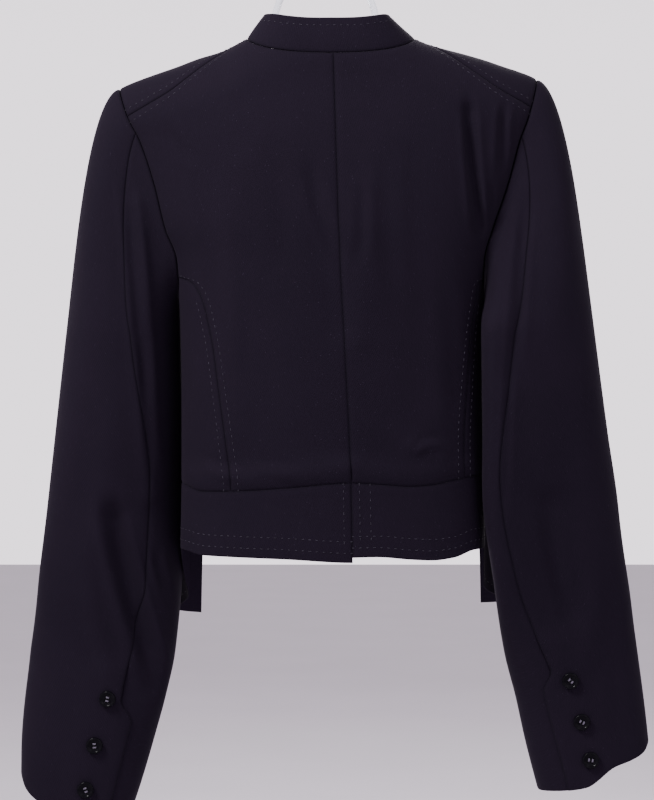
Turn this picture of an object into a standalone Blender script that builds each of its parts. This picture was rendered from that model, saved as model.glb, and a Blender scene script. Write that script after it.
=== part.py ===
"""Cropped jacket hung on a clear hanger: cloth walls, cuff buttons, hanger and wire hook.

Metres, +Z up. The back of the garment faces -Y, and +X is to the right in the back view. The origin
is the inner top of the hook, where a rail carries it. Garment sizes are measured from its own datum
at the nape, which hangs GARMENT_DROP below the origin.
"""

import math

import bmesh
import bpy
import numpy as np
from mathutils import Matrix, Vector

# Where the garment hangs
GARMENT_DROP = 0.178
GARMENT_SHIFT = 0.005

# Cloth
WALL = 0.0016
COLLAR_WALL = 0.0024
SEAM_GAP = 0.0004
SHOULDER_GAP = 0.0009
SEAM_TURN = 0.12
PRINCESS_GAP_TURN = 0.45
SEAM_TURN_SLEEVE = 0.26
COLLAR_GAP = 0.0009
SECTION_POWER = 2.6
SLEEVE_POWER = 2.3
NORMAL_STEP = 0.002
SHARP_ANGLE = 50
RIDGE_RADIUS = 0.050
QUARTER_ARC = RIDGE_RADIUS * math.pi / 2
START_HEIGHT = -0.1
SETTLE_STEPS = 14
HALVING_STEPS = 30
SLOPE_STEP = 0.001
CORE_WIDTH_SHARE = 0.2
CORE_DROP = 0.02

# Torso: half widths, depths behind and before the shoulder plane; the fronts drift right and flare out
TORSO_COLUMNS = ("height", "left", "right", "back", "front", "lean", "flare")
TORSO_ROWS = (
    (-0.520, 0.1360, 0.1350, 0.0670, 0.130, 0.010, 0.026),
    (-0.441, 0.1360, 0.1350, 0.0670, 0.131, 0.010, 0.022),
    (-0.377, 0.1350, 0.1330, 0.0660, 0.130, 0.008, 0.011),
    (-0.300, 0.1350, 0.1330, 0.0670, 0.117, 0.005, 0.003),
    (-0.240, 0.1360, 0.1340, 0.0680, 0.101, 0.003, 0.000),
    (-0.209, 0.1378, 0.1360, 0.0680, 0.093, 0.002, 0.000),
    (-0.179, 0.1450, 0.1435, 0.0670, 0.086, 0.001, 0.000),
    (-0.152, 0.1585, 0.1545, 0.0660, 0.080, 0.000, 0.000),
    (-0.111, 0.1710, 0.1710, 0.0630, 0.071, 0.000, 0.000),
    (-0.074, 0.1850, 0.1825, 0.0590, 0.063, 0.000, 0.000),
    (-0.050, 0.1980, 0.1920, 0.0550, 0.056, 0.000, 0.000),
    (-0.015, 0.2090, 0.2020, 0.0470, 0.046, 0.000, 0.000),
    (0.025, 0.2140, 0.2080, 0.0400, 0.036, 0.000, 0.000),
)
LEAN_DEPTH = 0.085
FLARE_START = 0.030
FLARE_SPREAD = 0.032

# Height of the shoulder ridge at a distance from the centre
RIDGE_COLUMNS = ("distance", "left", "right")
RIDGE_ROWS = (
    (0.000, 0.0440, 0.0440),
    (0.030, 0.0410, 0.0410),
    (0.049, 0.0350, 0.0350),
    (0.062, 0.0295, 0.0295),
    (0.069, 0.0263, 0.0263),
    (0.076, 0.0226, 0.0226),
    (0.084, 0.0185, 0.0192),
    (0.097, 0.0118, 0.0150),
    (0.120, 0.0046, 0.0090),
    (0.139, -0.0026, 0.0035),
    (0.157, -0.0088, -0.0026),
    (0.170, -0.0134, -0.0068),
    (0.184, -0.0189, -0.0125),
    (0.192, -0.0230, -0.0190),
    (0.202, -0.0310, -0.0300),
    (0.220, -0.0480, -0.0500),
)

# Armhole: turn round the torso against the angle round the ring, 0 at the shoulder, 90 at the back
ARMHOLE_COLUMNS = ("around", "turn")
ARMHOLE_ROWS = (
    (0, 60.0),
    (60, 60.0),
    (90, 60.5),
    (120, 62.5),
    (150, 73.0),
    (180, 90.0),
    (210, 107.0),
    (240, 120.0),
    (270, 126.0),
    (300, 126.0),
    (330, 122.0),
    (360, 120.0),
)
ARMHOLE_BOTTOM = -0.213
ARMHOLE_LOW_START = 110
ARMHOLE_LOW_STEPS = 12
PRINCESS_LIMIT = -0.187

# Seams on the back: distance of each from the centre plane
SEAM_COLUMNS = ("height", "princess_left", "princess_right", "centre")
SEAM_ROWS = (
    (-0.450, 0.0880, 0.1180, 0.0190),
    (-0.384, 0.0880, 0.1185, 0.0178),
    (-0.343, 0.0926, 0.1180, 0.0165),
    (-0.292, 0.0996, 0.1210, 0.0140),
    (-0.259, 0.1040, 0.1235, 0.0122),
    (-0.234, 0.1090, 0.1262, 0.0108),
    (-0.218, 0.1130, 0.1285, 0.0099),
    (-0.201, 0.1225, 0.1315, 0.0090),
    (-0.187, 0.1480, 0.1460, 0.0083),
    (0.010, 0.1480, 0.1460, 0.0020),
)

# Waist seam and back hem, across the back from left to right
WAIST_COLUMNS = ("across", "seam", "left_hem", "right_hem")
WAIST_ROWS = (
    (-0.140, -0.3755, -0.4370, -0.4430),
    (-0.129, -0.3800, -0.4380, -0.4430),
    (-0.114, -0.3850, -0.4412, -0.4430),
    (-0.088, -0.3845, -0.4420, -0.4430),
    (-0.040, -0.3815, -0.4435, -0.4430),
    (0.018, -0.3770, -0.4465, -0.4420),
    (0.040, -0.3780, -0.4465, -0.4415),
    (0.071, -0.3800, -0.4465, -0.4440),
    (0.090, -0.3785, -0.4465, -0.4450),
    (0.109, -0.3745, -0.4465, -0.4430),
    (0.128, -0.3715, -0.4465, -0.4370),
    (0.140, -0.3715, -0.4465, -0.4365),
)

# Neckline: angle round the neck from centre back, half width and height
NECK_END = 138
NECK_SHOULDER = 90
NECK_HALF_WIDTH = 0.0760
NECK_SIDE_HEIGHT = 0.0226
NECK_FRONT_HEIGHT = -0.0350
NECK_COLUMNS = ("around", "across", "height")
NECK_ROWS = (
    (0, 0.0000, 0.0040),
    (20, 0.0260, 0.0050),
    (40, 0.0490, 0.0080),
    (60, 0.0660, 0.0135),
    (75, 0.0735, 0.0185),
    (90, NECK_HALF_WIDTH, NECK_SIDE_HEIGHT),
    (105, 0.0734, 0.0120),
    (120, 0.0658, -0.0050),
    (138, 0.0509, NECK_FRONT_HEIGHT),
)

# Front edge below the neckline
FRONT_EDGE_COLUMNS = ("height", "across")
FRONT_EDGE_ROWS = (
    (-0.520, 0.1085),
    (-0.441, 0.1105),
    (-0.377, 0.1130),
    (-0.300, 0.1075),
    (-0.220, 0.0940),
    (-0.150, 0.0760),
    (-0.080, 0.0580),
    (-0.035, 0.0509),
)
FRONT_CORNER = {-1: -0.506, 1: -0.497}
SIDE_HEM = {-1: -0.4370, 1: -0.4365}

# Front hem: share of its dip between the front edge and the side seam
FRONT_HEM_COLUMNS = ("part", "dip")
FRONT_HEM_ROWS = (
    (0.00, 1.00),
    (0.20, 0.96),
    (0.40, 0.90),
    (0.60, 0.74),
    (0.80, 0.42),
    (1.00, 0.00),
)

# Shoulder seam, set back behind the ridge: distance along the cloth from the ridge
SHOULDER_COLUMNS = ("distance", "path")
SHOULDER_ROWS = (
    (0.070, 0.0000),
    (0.076, 0.0002),
    (0.095, 0.0170),
    (0.125, 0.0420),
    (0.152, 0.055),
    (0.183, 0.061),
    (0.200, 0.062),
)

# Collar: height and inward lean above the neckline
COLLAR_NAMES = ("around", "height", "lean_left", "lean_right")
COLLAR_SIZES = (
    (0, 0.0326, 0.0080, 0.0080),
    (45, 0.0310, 0.0100, 0.0130),
    (75, 0.0250, 0.0150, 0.0230),
    (90, 0.0218, 0.0176, 0.0280),
    (110, 0.0225, 0.0160, 0.0220),
    (138, 0.0240, 0.0080, 0.0080),
)
COLLAR_AXIS = -0.005

# Sleeves: centre from the midplane, width, depth and centre towards the front, down to the cuff
SLEEVE_COLUMNS = ("height", "centre", "width", "depth", "forward")
SLEEVE_ROWS = {
    -1: (
        (-0.675, 0.2335, 0.0990, 0.060, 0.018),
        (-0.640, 0.2272, 0.1102, 0.058, 0.017),
        (-0.603, 0.2202, 0.1190, 0.057, 0.016),
        (-0.566, 0.2130, 0.1260, 0.057, 0.015),
        (-0.530, 0.2072, 0.1306, 0.058, 0.014),
        (-0.476, 0.2017, 0.1304, 0.062, 0.012),
        (-0.403, 0.1985, 0.1200, 0.072, 0.012),
        (-0.331, 0.1945, 0.1120, 0.084, 0.012),
        (-0.245, 0.1905, 0.1010, 0.092, 0.012),
    ),
    1: (
        (-0.647, 0.2382, 0.1005, 0.060, 0.006),
        (-0.603, 0.2300, 0.1075, 0.058, 0.005),
        (-0.566, 0.2236, 0.1120, 0.058, 0.004),
        (-0.530, 0.2165, 0.1180, 0.060, 0.002),
        (-0.476, 0.2083, 0.1227, 0.064, -0.001),
        (-0.403, 0.1994, 0.1206, 0.074, -0.005),
        (-0.331, 0.1933, 0.1112, 0.084, -0.009),
        (-0.245, 0.1878, 0.0985, 0.092, -0.012),
    ),
}
SLEEVE_LEVEL = -0.245
CAP_TOP = -0.020
CAP_WAY_TOP = -0.22
CAP_WAY_UNDERARM = 0.25
CAP_REACH_TOP = 0.086
CAP_REACH_UNDERARM = 0.008
CAP_SETBACK = {-1: 0.35, 1: -0.05}
SLEEVE_CLEARANCE = 0.0012
CUFF_DIP = 0.010
CUFF_BLEND = 0.220

# Cuff edge: rise above its lowest part against the share of the way from the body to the outer fold
CUFF_COLUMNS = ("share", "left", "right")
CUFF_ROWS = (
    (0.00, 0.000, 0.000),
    (0.40, 0.004, 0.006),
    (0.65, 0.011, 0.024),
    (0.82, 0.019, 0.030),
    (0.94, 0.029, 0.036),
    (1.00, 0.041, 0.044),
)

# Back seam of the sleeve, as an angle round it (0 outside, 90 behind); the front seam is level
SLEEVE_SEAM_COLUMNS = ("height", "left", "right")
SLEEVE_SEAM_ROWS = (
    (-0.680, 111.0, 103.0),
    (-0.560, 112.0, 109.0),
    (-0.460, 120.0, 131.0),
    (-0.375, 123.0, 136.0),
    (-0.270, 105.0, 121.0),
    (-0.155, 86.0, 99.0),
    (-0.090, 70.0, 80.0),
    (-0.020, 58.0, 64.0),
)
SLEEVE_FRONT_SEAM = 245.0

# Cuff vent and its buttons
VENT_LENGTH = 0.105
VENT_FADE = 0.020
VENT_LAP = 14.0
VENT_LIFT = 0.0021
LIFT_START = 42.0
LIFT_FADE = 26.0
BUTTON_RADIUS = 0.0075
BUTTON_THICKNESS = 0.0032
BUTTON_HOLE_RADIUS = 0.0008
BUTTON_HOLE_SPACING = 0.0016
BUTTON_SEAT = 0.0006
BUTTON_STEPS = 16
BUTTON_HOLE_SIDES = 6
BUTTON_SHARP_ANGLE = 35

# Button's turned outline: shares of its radius and of its thickness, from the back to the well
BUTTON_OUTLINE = (
    (0.00, 0.00),
    (0.86, 0.00),
    (1.00, 0.40),
    (0.96, 0.85),
    (0.85, 1.00),
    (0.70, 0.75),
    (0.00, 0.70),
)

# Buttons, upper one first: height and angle round the sleeve
BUTTON_ROWS = {
    -1: ((-0.569, 101.5), (-0.610, 98.5), (-0.649, 98.5)),
    1: ((-0.553, 97.0), (-0.591, 94.0), (-0.626, 92.5)),
}

# Large folds seen from behind: ends across and up, half width and depth (a trough is below zero)
FOLD_COLUMNS = ("across_a", "height_a", "across_b", "height_b", "half_width", "depth")
TORSO_FOLDS = (
    (0.121, -0.050, 0.131, -0.150, 0.0080, -0.0040),
    (-0.078, -0.100, -0.086, -0.330, 0.0160, 0.0016),
    (-0.020, -0.110, 0.006, -0.240, 0.0120, -0.0014),
    (0.030, -0.120, 0.026, -0.250, 0.0120, 0.0014),
    (0.074, -0.090, 0.078, -0.300, 0.0180, -0.0014),
    (0.072, -0.345, 0.098, -0.352, 0.0080, 0.0018),
)
SLEEVE_FOLDS = (
    (-0.192, -0.410, -0.158, -0.560, 0.0140, -0.0050),
    (-0.168, -0.150, -0.160, -0.370, 0.0120, 0.0022),
    (0.176, -0.130, 0.160, -0.280, 0.0120, -0.0022),
    (0.196, -0.400, 0.212, -0.490, 0.0160, -0.0030),
)
BLOUSE = {-1: 0.0030, 1: 0.0018}
BLOUSE_HEIGHT = 0.011
BLOUSE_SPREAD = 0.009

# Hanger and hook
ARCH_HALF_WIDTH = 0.0482
ARCH_RISE = 0.0735
ARCH_FOOT = 0.020
ARCH_RIM_HALF = 0.0033
ARCH_DEPTH_HALF = 0.0050
ARM_RIM_HALF = 0.0050
ARM_DEPTH_HALF = 0.0110
ARM_START = 0.070
ARM_END = 0.166
ARM_CLEARANCE = 0.0013
ARM_CLEARANCE_NECK = 0.0026
ARM_GROWTH = 0.040
SOCKET_RADIUS = 0.0050
SOCKET_TOP = 0.0060
HOOK_WIRE = 0.00175
HOOK_INNER_RADIUS = 0.0180
HOOK_JOIN_ANGLE = -40.0
HOOK_TIP_ANGLE = 205.0
HOOK_BEND_START = -0.056
HOOK_BEND_PULL = 0.010
ARCH_STEPS = 12
ARCH_END_ANGLE = 5.0
ARM_STEPS = 11
BEND_STEPS = 5
BEND_REACH = 0.001
BEND_RISE = 0.35
HANGER_SIDES = 10
SOCKET_SIDES = 20
HOOK_BEND_STEPS = 8
HOOK_RING_STEPS = 20

# Rounded tip of a hanger arm: distance past the arm's end and share of its size
ARM_TIP_ROWS = ((0.004, 0.80), (0.006, 0.45))

# Rows and columns of each cloth grid
BACK_NECK_COLUMNS = 5
BACK_SHOULDER_COLUMNS = 8
PRINCESS_ROWS = 13
ARMHOLE_EDGE_ROWS = 9
SIDE_COLUMNS = 5
FRONT_COLUMNS = 9
FRONT_ROWS = 28
BAND_COLUMNS = 14
BAND_ROWS = 4
COLLAR_COLUMNS = 28
COLLAR_ROWS = 4
CAP_ROWS = 8
ARM_ROWS = 20
UPPER_COLUMNS = 14
UNDER_COLUMNS = 8

SIDE_NAMES = {-1: "left", 1: "right"}


class Curve:
    """Smooth curve through the rows of a table, which never swings past them."""

    def __init__(self, places, values):
        self.places = np.array(places, dtype=float)
        self.values = np.array(values, dtype=float)
        steps = np.diff(self.places)
        slopes = np.diff(self.values) / steps
        tangents = np.zeros_like(self.values)
        tangents[0] = slopes[0]
        tangents[-1] = slopes[-1]
        for index in range(1, len(slopes)):
            before, after = slopes[index - 1], slopes[index]
            if before * after > 0:
                weight_before = 2 * steps[index] + steps[index - 1]
                weight_after = steps[index] + 2 * steps[index - 1]
                total = weight_before + weight_after
                tangents[index] = total / (weight_before / before + weight_after / after)
        self.tangents = tangents

    def __call__(self, place):
        place = np.clip(place, self.places[0], self.places[-1])
        row = np.clip(np.searchsorted(self.places, place) - 1, 0, len(self.places) - 2)
        step = self.places[row + 1] - self.places[row]
        part = (place - self.places[row]) / step
        rest = 1 - part
        start = (1 + 2 * part) * rest * rest * self.values[row]
        finish = part * part * (3 - 2 * part) * self.values[row + 1]
        bend = part * rest * rest * self.tangents[row] - part * part * rest * self.tangents[row + 1]
        return start + finish + step * bend


def curves(columns, rows):
    """One curve for each named column of a table after its first."""
    places = [row[0] for row in rows]
    found = {}
    for index, name in enumerate(columns[1:], start=1):
        found[name] = Curve(places, [row[index] for row in rows])
    return found


TORSO = curves(TORSO_COLUMNS, TORSO_ROWS)
RIDGE = curves(RIDGE_COLUMNS, RIDGE_ROWS)
ARMHOLE = curves(ARMHOLE_COLUMNS, ARMHOLE_ROWS)
SEAMS = curves(SEAM_COLUMNS, SEAM_ROWS)
WAIST = curves(WAIST_COLUMNS, WAIST_ROWS)
NECK = curves(NECK_COLUMNS, NECK_ROWS)
NECK_BACK_ROWS = [row for row in NECK_ROWS if row[0] <= NECK_SHOULDER]
NECK_FRONT_ROWS = [row for row in NECK_ROWS if row[0] >= NECK_SHOULDER][::-1]
NECK_BACK_HEIGHT = Curve([row[1] for row in NECK_BACK_ROWS], [row[2] for row in NECK_BACK_ROWS])
NECK_FRONT_ACROSS = Curve([row[2] for row in NECK_FRONT_ROWS], [row[1] for row in NECK_FRONT_ROWS])
FRONT_EDGE = curves(FRONT_EDGE_COLUMNS, FRONT_EDGE_ROWS)
FRONT_HEM = curves(FRONT_HEM_COLUMNS, FRONT_HEM_ROWS)
SHOULDER = curves(SHOULDER_COLUMNS, SHOULDER_ROWS)
COLLAR = curves(COLLAR_NAMES, COLLAR_SIZES)
SLEEVE = {side: curves(SLEEVE_COLUMNS, rows) for side, rows in SLEEVE_ROWS.items()}
SLEEVE_SEAM = curves(SLEEVE_SEAM_COLUMNS, SLEEVE_SEAM_ROWS)
CUFF = curves(CUFF_COLUMNS, CUFF_ROWS)


def smooth(value):
    """Ease from 0 to 1 as the value goes from 0 to 1."""
    part = np.clip(value, 0, 1)
    return part * part * (3 - 2 * part)


def mix(start, finish, part):
    return start + (finish - start) * part


def section(turn, power):
    """Unit rounded-square section: across and back parts at a turn in degrees."""
    across = np.sin(np.radians(turn))
    back = np.cos(np.radians(turn))
    size = (np.abs(across) ** power + np.abs(back) ** power) ** (1 / power)
    return across / size, back / size


def turn_of(across):
    """Turn at which the torso section has this signed part of its half width."""
    part = np.clip(np.abs(across), 0, 1)
    back = (1 - part**SECTION_POWER) ** (1 / SECTION_POWER)
    return np.sign(across) * np.degrees(np.arctan2(part, back))


def half_width(side, height):
    return TORSO[SIDE_NAMES[side]](height)


def ridge_height(side, across):
    return RIDGE[SIDE_NAMES[side]](np.abs(across))


def fall_of_path(path):
    """Drop below the ridge after a distance over the rounded shoulder and down."""
    length = np.abs(path)
    angle = np.minimum(length / RIDGE_RADIUS, math.pi / 2)
    return RIDGE_RADIUS * (1 - np.cos(angle)) + np.maximum(0, length - QUARTER_ARC)


def path_of_fall(fall):
    """Distance over the rounded shoulder and down for a drop below the ridge."""
    near = RIDGE_RADIUS * np.arccos(np.clip(1 - fall / RIDGE_RADIUS, 0, 1))
    return near + np.maximum(0, fall - RIDGE_RADIUS)


def fold_relief(folds, across, height):
    """Sum of the folds at a place in the back view, out of the cloth."""
    total = np.zeros(np.broadcast(across, height).shape)
    for fold in folds:
        row = dict(zip(FOLD_COLUMNS, fold))
        along = np.array((row["across_b"] - row["across_a"], row["height_b"] - row["height_a"]))
        length = np.hypot(*along)
        along = along / length
        offset_across = across - row["across_a"]
        offset_height = height - row["height_a"]
        part = (offset_across * along[0] + offset_height * along[1]) / length
        aside = offset_across * along[1] - offset_height * along[0]
        past = np.maximum(np.maximum(-part, part - 1), 0) * length
        distance = np.sqrt(aside**2 + past**2) / row["half_width"]
        total = total + row["depth"] * np.exp(-(distance**2))
    return total


def torso_point(side, turn, height, facing):
    """Point of the torso's outer face; facing is -1 behind the ridge and 1 before it."""
    across_part, depth_part = section(turn, SECTION_POWER)
    across = side * half_width(side, height) * across_part
    fall = np.maximum(0, ridge_height(side, across) - height)
    rounding = np.sin(np.minimum(path_of_fall(fall) / RIDGE_RADIUS, math.pi / 2))
    full = np.where(facing < 0, TORSO["back"](height), TORSO["front"](height))
    flatness = np.abs(depth_part)
    depth = full * flatness * rounding
    relief = fold_relief(TORSO_FOLDS, across, height)
    above_seam = (height - WAIST["seam"](across) - BLOUSE_HEIGHT) / BLOUSE_SPREAD
    blouse = BLOUSE[side] * np.exp(-(above_seam**2))
    blouse = np.where(height > WAIST["seam"](across), blouse, 0)
    depth = depth + np.where(facing < 0, (relief + blouse) * smooth(flatness * 2) * rounding, 0)
    drift = TORSO["lean"](height) * smooth(depth / LEAN_DEPTH)
    drift = drift + side * TORSO["flare"](height) * smooth((depth - FLARE_START) / FLARE_SPREAD)
    drift = drift * (facing > 0)
    return np.stack(np.broadcast_arrays(across + drift, facing * depth, height), axis=-1)


def armhole_tip(side):
    """Height at which the armhole crosses the shoulder ridge."""
    height = START_HEIGHT
    tip_across = section(ARMHOLE["turn"](0), SECTION_POWER)[0]
    for _ in range(SETTLE_STEPS):
        height = float(ridge_height(side, half_width(side, height) * tip_across))
    return height


def armhole_height(side, around):
    """Height of the armhole at an angle round its ring."""
    top = armhole_tip(side)
    return top - (top - ARMHOLE_BOTTOM) * (1 - np.cos(np.radians(around))) / 2


def armhole_turn(side, height, facing):
    """Turn of the armhole's edge at a height, on the back or the front half."""
    top = armhole_tip(side)
    down = np.clip((top - height) / (top - ARMHOLE_BOTTOM), 0, 1)
    around = np.degrees(np.arccos(1 - 2 * down))
    back_turn = ARMHOLE["turn"](around)
    front_turn = ARMHOLE["turn"](360 - around)
    return np.where(facing < 0, back_turn, front_turn)


def armhole_point(side, around):
    """Point of the armhole's ring on the torso's outer face."""
    turn = ARMHOLE["turn"](around)
    facing = np.where(around < 180, -1, 1)
    return torso_point(side, turn, armhole_height(side, around), facing)


def princess_turn(side, height):
    """Turn of the princess seam, which runs up into the armhole."""
    column = SEAMS["princess_" + SIDE_NAMES[side]]
    return turn_of(np.minimum(column(height) / half_width(side, height), 1))


def princess_top(side):
    """Height at which the princess seam meets the armhole."""
    low, high = ARMHOLE_BOTTOM, PRINCESS_LIMIT
    for _ in range(HALVING_STEPS):
        middle = (low + high) / 2
        if princess_turn(side, middle) < armhole_turn(side, middle, -1):
            low = middle
        else:
            high = middle
    return (low + high) / 2


def centre_turn(side, height):
    """Turn of the centre back seam, a little past the middle on the left panel."""
    return turn_of(side * SEAMS["centre"](height) / half_width(side, height))


def level_edge(side, facing, height_of, trim):
    """Level edge of a panel at the height that a function gives, as a signed path from the ridge."""

    def path_at(part, across, turn):
        height = height_of(part, across, turn) + trim
        return facing * path_of_fall(ridge_height(side, across) - height)

    return path_at


def shoulder_edge(side, trim):
    """Top edge of a panel: the neckline, then the shoulder seam set back behind the ridge."""

    def path_at(part, across, turn):
        distance = np.abs(across)
        seam = -SHOULDER["path"](distance)
        neck = -path_of_fall(ridge_height(side, across) - NECK_BACK_HEIGHT(distance))
        return np.where(distance < NECK_HALF_WIDTH, neck, seam) - trim

    return path_at


def ruled_surface(side, inner, outer, bottom, top):
    """Surface between two side edges, given as turns, and two level edges, given as signed paths."""

    def turn_and_across(part, height, facing):
        turn = mix(inner(height, facing), outer(height, facing), part)
        return turn, side * half_width(side, height) * section(turn, SECTION_POWER)[0]

    def settle(part, path_at):
        height = np.full(part.shape, START_HEIGHT)
        facing = np.where(part < 2, -1, 1)
        for _ in range(SETTLE_STEPS):
            turn, across = turn_and_across(part, height, facing)
            path = path_at(part, across, turn)
            facing = np.where(path < 0, -1, 1)
            turn, across = turn_and_across(part, height, facing)
            height = ridge_height(side, across) - fall_of_path(path)
        return turn, height, path, facing

    def surface(part, rise):
        low = settle(part, bottom)[2]
        high = settle(part, top)[2]
        turn, height, path, facing = settle(part, lambda *place: mix(low, high, rise))
        return torso_point(side, turn, height, facing)

    return surface


def material_of(name, colour, roughness, metallic):
    """Principled material from a linear colour."""
    material = bpy.data.materials.new(name)
    material.use_nodes = True
    shader = material.node_tree.nodes["Principled BSDF"]
    shader.inputs["Base Color"].default_value = (*colour, 1.0)
    shader.inputs["Roughness"].default_value = roughness
    shader.inputs["Metallic"].default_value = metallic
    return material


def surface_normals(surface, part, rise, core):
    """Unit normals of a surface, pointing away from the core that it wraps."""
    outer = surface(part, rise)
    along_part = surface(part + NORMAL_STEP, rise) - surface(part - NORMAL_STEP, rise)
    along_rise = surface(part, rise + NORMAL_STEP) - surface(part, rise - NORMAL_STEP)
    normal = np.cross(along_part, along_rise)
    normal = normal / np.linalg.norm(normal, axis=-1)[..., None]
    if np.sum(normal * (outer - core(outer))) < 0:
        normal = -normal
    return outer, normal


def wall_object(name, surface, parts, rises, core, material, thickness):
    """Closed cloth wall: a grid on the surface, the same grid set inward, and a rim between them."""
    part, rise = np.meshgrid(parts, rises, indexing="ij")
    outer, normal = surface_normals(surface, part, rise, core)
    inner = outer - normal * thickness
    shell = bmesh.new()
    layers = []
    for layer in (outer, inner):
        layers.append([[shell.verts.new(point) for point in column] for column in layer])
    rows = len(parts) - 1
    levels = len(rises) - 1
    for i in range(rows):
        for j in range(levels):
            corners = ((i, j), (i + 1, j), (i + 1, j + 1), (i, j + 1))
            shell.faces.new([layers[0][a][b] for a, b in corners])
            shell.faces.new([layers[1][a][b] for a, b in reversed(corners)])
    rim = [(i, 0) for i in range(rows)] + [(rows, j) for j in range(levels)]
    rim += [(i, levels) for i in range(rows, 0, -1)] + [(0, j) for j in range(levels, 0, -1)]
    for (a, b), (c, d) in zip(rim, rim[1:] + rim[:1]):
        shell.faces.new((layers[0][c][d], layers[0][a][b], layers[1][a][b], layers[1][c][d]))
    shell.normal_update()
    if shell.calc_volume(signed=True) < 0:
        bmesh.ops.reverse_faces(shell, faces=shell.faces[:])
    mesh = bpy.data.meshes.new(name)
    shell.to_mesh(mesh)
    shell.free()
    mesh.shade_smooth()
    mesh.set_sharp_from_angle(angle=math.radians(SHARP_ANGLE))
    mesh.materials.append(material)
    panel = bpy.data.objects.new(name, mesh)
    bpy.context.collection.objects.link(panel)
    return panel


def torso_core(points):
    """Axis of the torso, level with each point and drawn out towards the sides."""
    return points * np.array((CORE_WIDTH_SHARE, 0.0, 1.0)) - np.array((0.0, 0.0, CORE_DROP))


def even(count):
    return np.linspace(0, 1, count + 1)


def back_columns(side):
    """Column places of a back panel, with one at the neck's corner."""
    height = NECK_SIDE_HEIGHT
    inner = centre_turn(side, height)
    outer = armhole_turn(side, armhole_tip(side), -1)
    share = (turn_of(NECK_HALF_WIDTH / half_width(side, height)) - inner) / (outer - inner)
    neck = np.linspace(0, share, BACK_NECK_COLUMNS + 1)
    shoulder = np.linspace(share, 1, BACK_SHOULDER_COLUMNS + 1)
    return np.concatenate((neck, shoulder[1:]))


def waist_edge(side, trim):
    return level_edge(side, -1, lambda part, across, turn: WAIST["seam"](across), trim)


def side_seam(height, facing):
    return np.full(np.shape(height), 90 - SEAM_TURN)


def back_surface(side):
    """Back from the centre seam to the princess seam, the armhole and the shoulder seam."""
    junction = princess_top(side)

    def outer(height, facing):
        armhole = armhole_turn(side, height, -1)
        return np.where(height > junction, armhole, princess_turn(side, height)) - SEAM_TURN

    return ruled_surface(
        side,
        lambda height, facing: centre_turn(side, height) + SEAM_TURN,
        outer,
        waist_edge(side, SEAM_GAP / 2),
        shoulder_edge(side, SHOULDER_GAP / 2),
    )


def back_row_places(side, surface):
    """Row places of a back panel, with one where the princess seam meets the armhole."""
    low, high = 0.0, 1.0
    junction = princess_top(side)
    for _ in range(HALVING_STEPS):
        middle = (low + high) / 2
        if surface(np.array(1.0), np.array(middle))[2] < junction:
            low = middle
        else:
            high = middle
    lower = np.linspace(0, low, PRINCESS_ROWS + 1)
    upper = np.linspace(low, 1, ARMHOLE_EDGE_ROWS + 1)
    return lower, upper[1:]


def make_back(side, cloth):
    """Back panel."""
    surface = back_surface(side)
    rows = np.concatenate(back_row_places(side, surface))
    name = "back_" + SIDE_NAMES[side]
    return wall_object(name, surface, back_columns(side), rows, torso_core, cloth, WALL)


def make_side_back(side, cloth):
    """Side back panel from the princess seam to the side seam, with the back panel's own rows."""
    back = back_surface(side)
    lower = back_row_places(side, back)[0]
    heights = back(np.ones(len(lower)), lower)[:, 2]
    rises = (heights - heights[0]) / (heights[-1] - heights[0])
    low_around = mix(ARMHOLE_LOW_START, 180, even(ARMHOLE_LOW_STEPS))
    floor = Curve(ARMHOLE["turn"](low_around), armhole_height(side, low_around) - SEAM_GAP / 2)
    last = 90 - SEAM_TURN

    def left(rise):
        height = mix(heights[0], heights[-1], rise)
        return np.stack((princess_turn(side, height) + PRINCESS_GAP_TURN, height), axis=-1)

    def bottom(part):
        turn = mix(left(0.0)[0], last, part)
        across = side * half_width(side, heights[0]) * section(turn, SECTION_POWER)[0]
        return np.stack((turn, WAIST["seam"](across) + SEAM_GAP / 2), axis=-1)

    def top(part):
        turn = mix(left(1.0)[0], last, part)
        return np.stack((turn, np.minimum(floor(turn), heights[-1])), axis=-1)

    def right(rise):
        height = mix(bottom(1.0)[1], top(1.0)[1], rise)
        return np.stack((np.full(np.shape(rise), last), height), axis=-1)

    def surface(part, rise):
        across = part[..., None]
        up = rise[..., None]
        sides = mix(left(rise), right(rise), across)
        levels = mix(bottom(part), top(part), up)
        corners = mix(mix(bottom(0.0), bottom(1.0), across), mix(top(0.0), top(1.0), across), up)
        place = sides + levels - corners
        return torso_point(side, place[..., 0], place[..., 1], np.full(part.shape, -1))

    name = "side_back_" + SIDE_NAMES[side]
    return wall_object(name, surface, even(SIDE_COLUMNS), rises, torso_core, cloth, WALL)


def make_front(side, cloth):
    """Front panel from the side seam and the armhole to the open edge, over the shoulder."""

    def inner(height, facing):
        edge = np.where(height < NECK_FRONT_HEIGHT, FRONT_EDGE["across"](height), NECK_FRONT_ACROSS(height))
        edge = np.where(facing < 0, NECK_HALF_WIDTH, edge)
        return 180 - turn_of(edge / half_width(side, height)) - SEAM_TURN

    def outer(height, facing):
        front = np.where(height > ARMHOLE_BOTTOM, armhole_turn(side, height, 1), 90.0)
        return np.where(facing < 0, 180 - armhole_turn(side, height, -1), front) + SEAM_TURN

    def hem(part, across, turn):
        return mix(SIDE_HEM[side], FRONT_CORNER[side], FRONT_HEM["dip"](part))

    surface = ruled_surface(
        side, inner, outer, level_edge(side, 1, hem, 0.0), shoulder_edge(side, -SHOULDER_GAP / 2)
    )
    name = "front_" + SIDE_NAMES[side]
    return wall_object(name, surface, even(FRONT_COLUMNS), even(FRONT_ROWS), torso_core, cloth, WALL)


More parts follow.
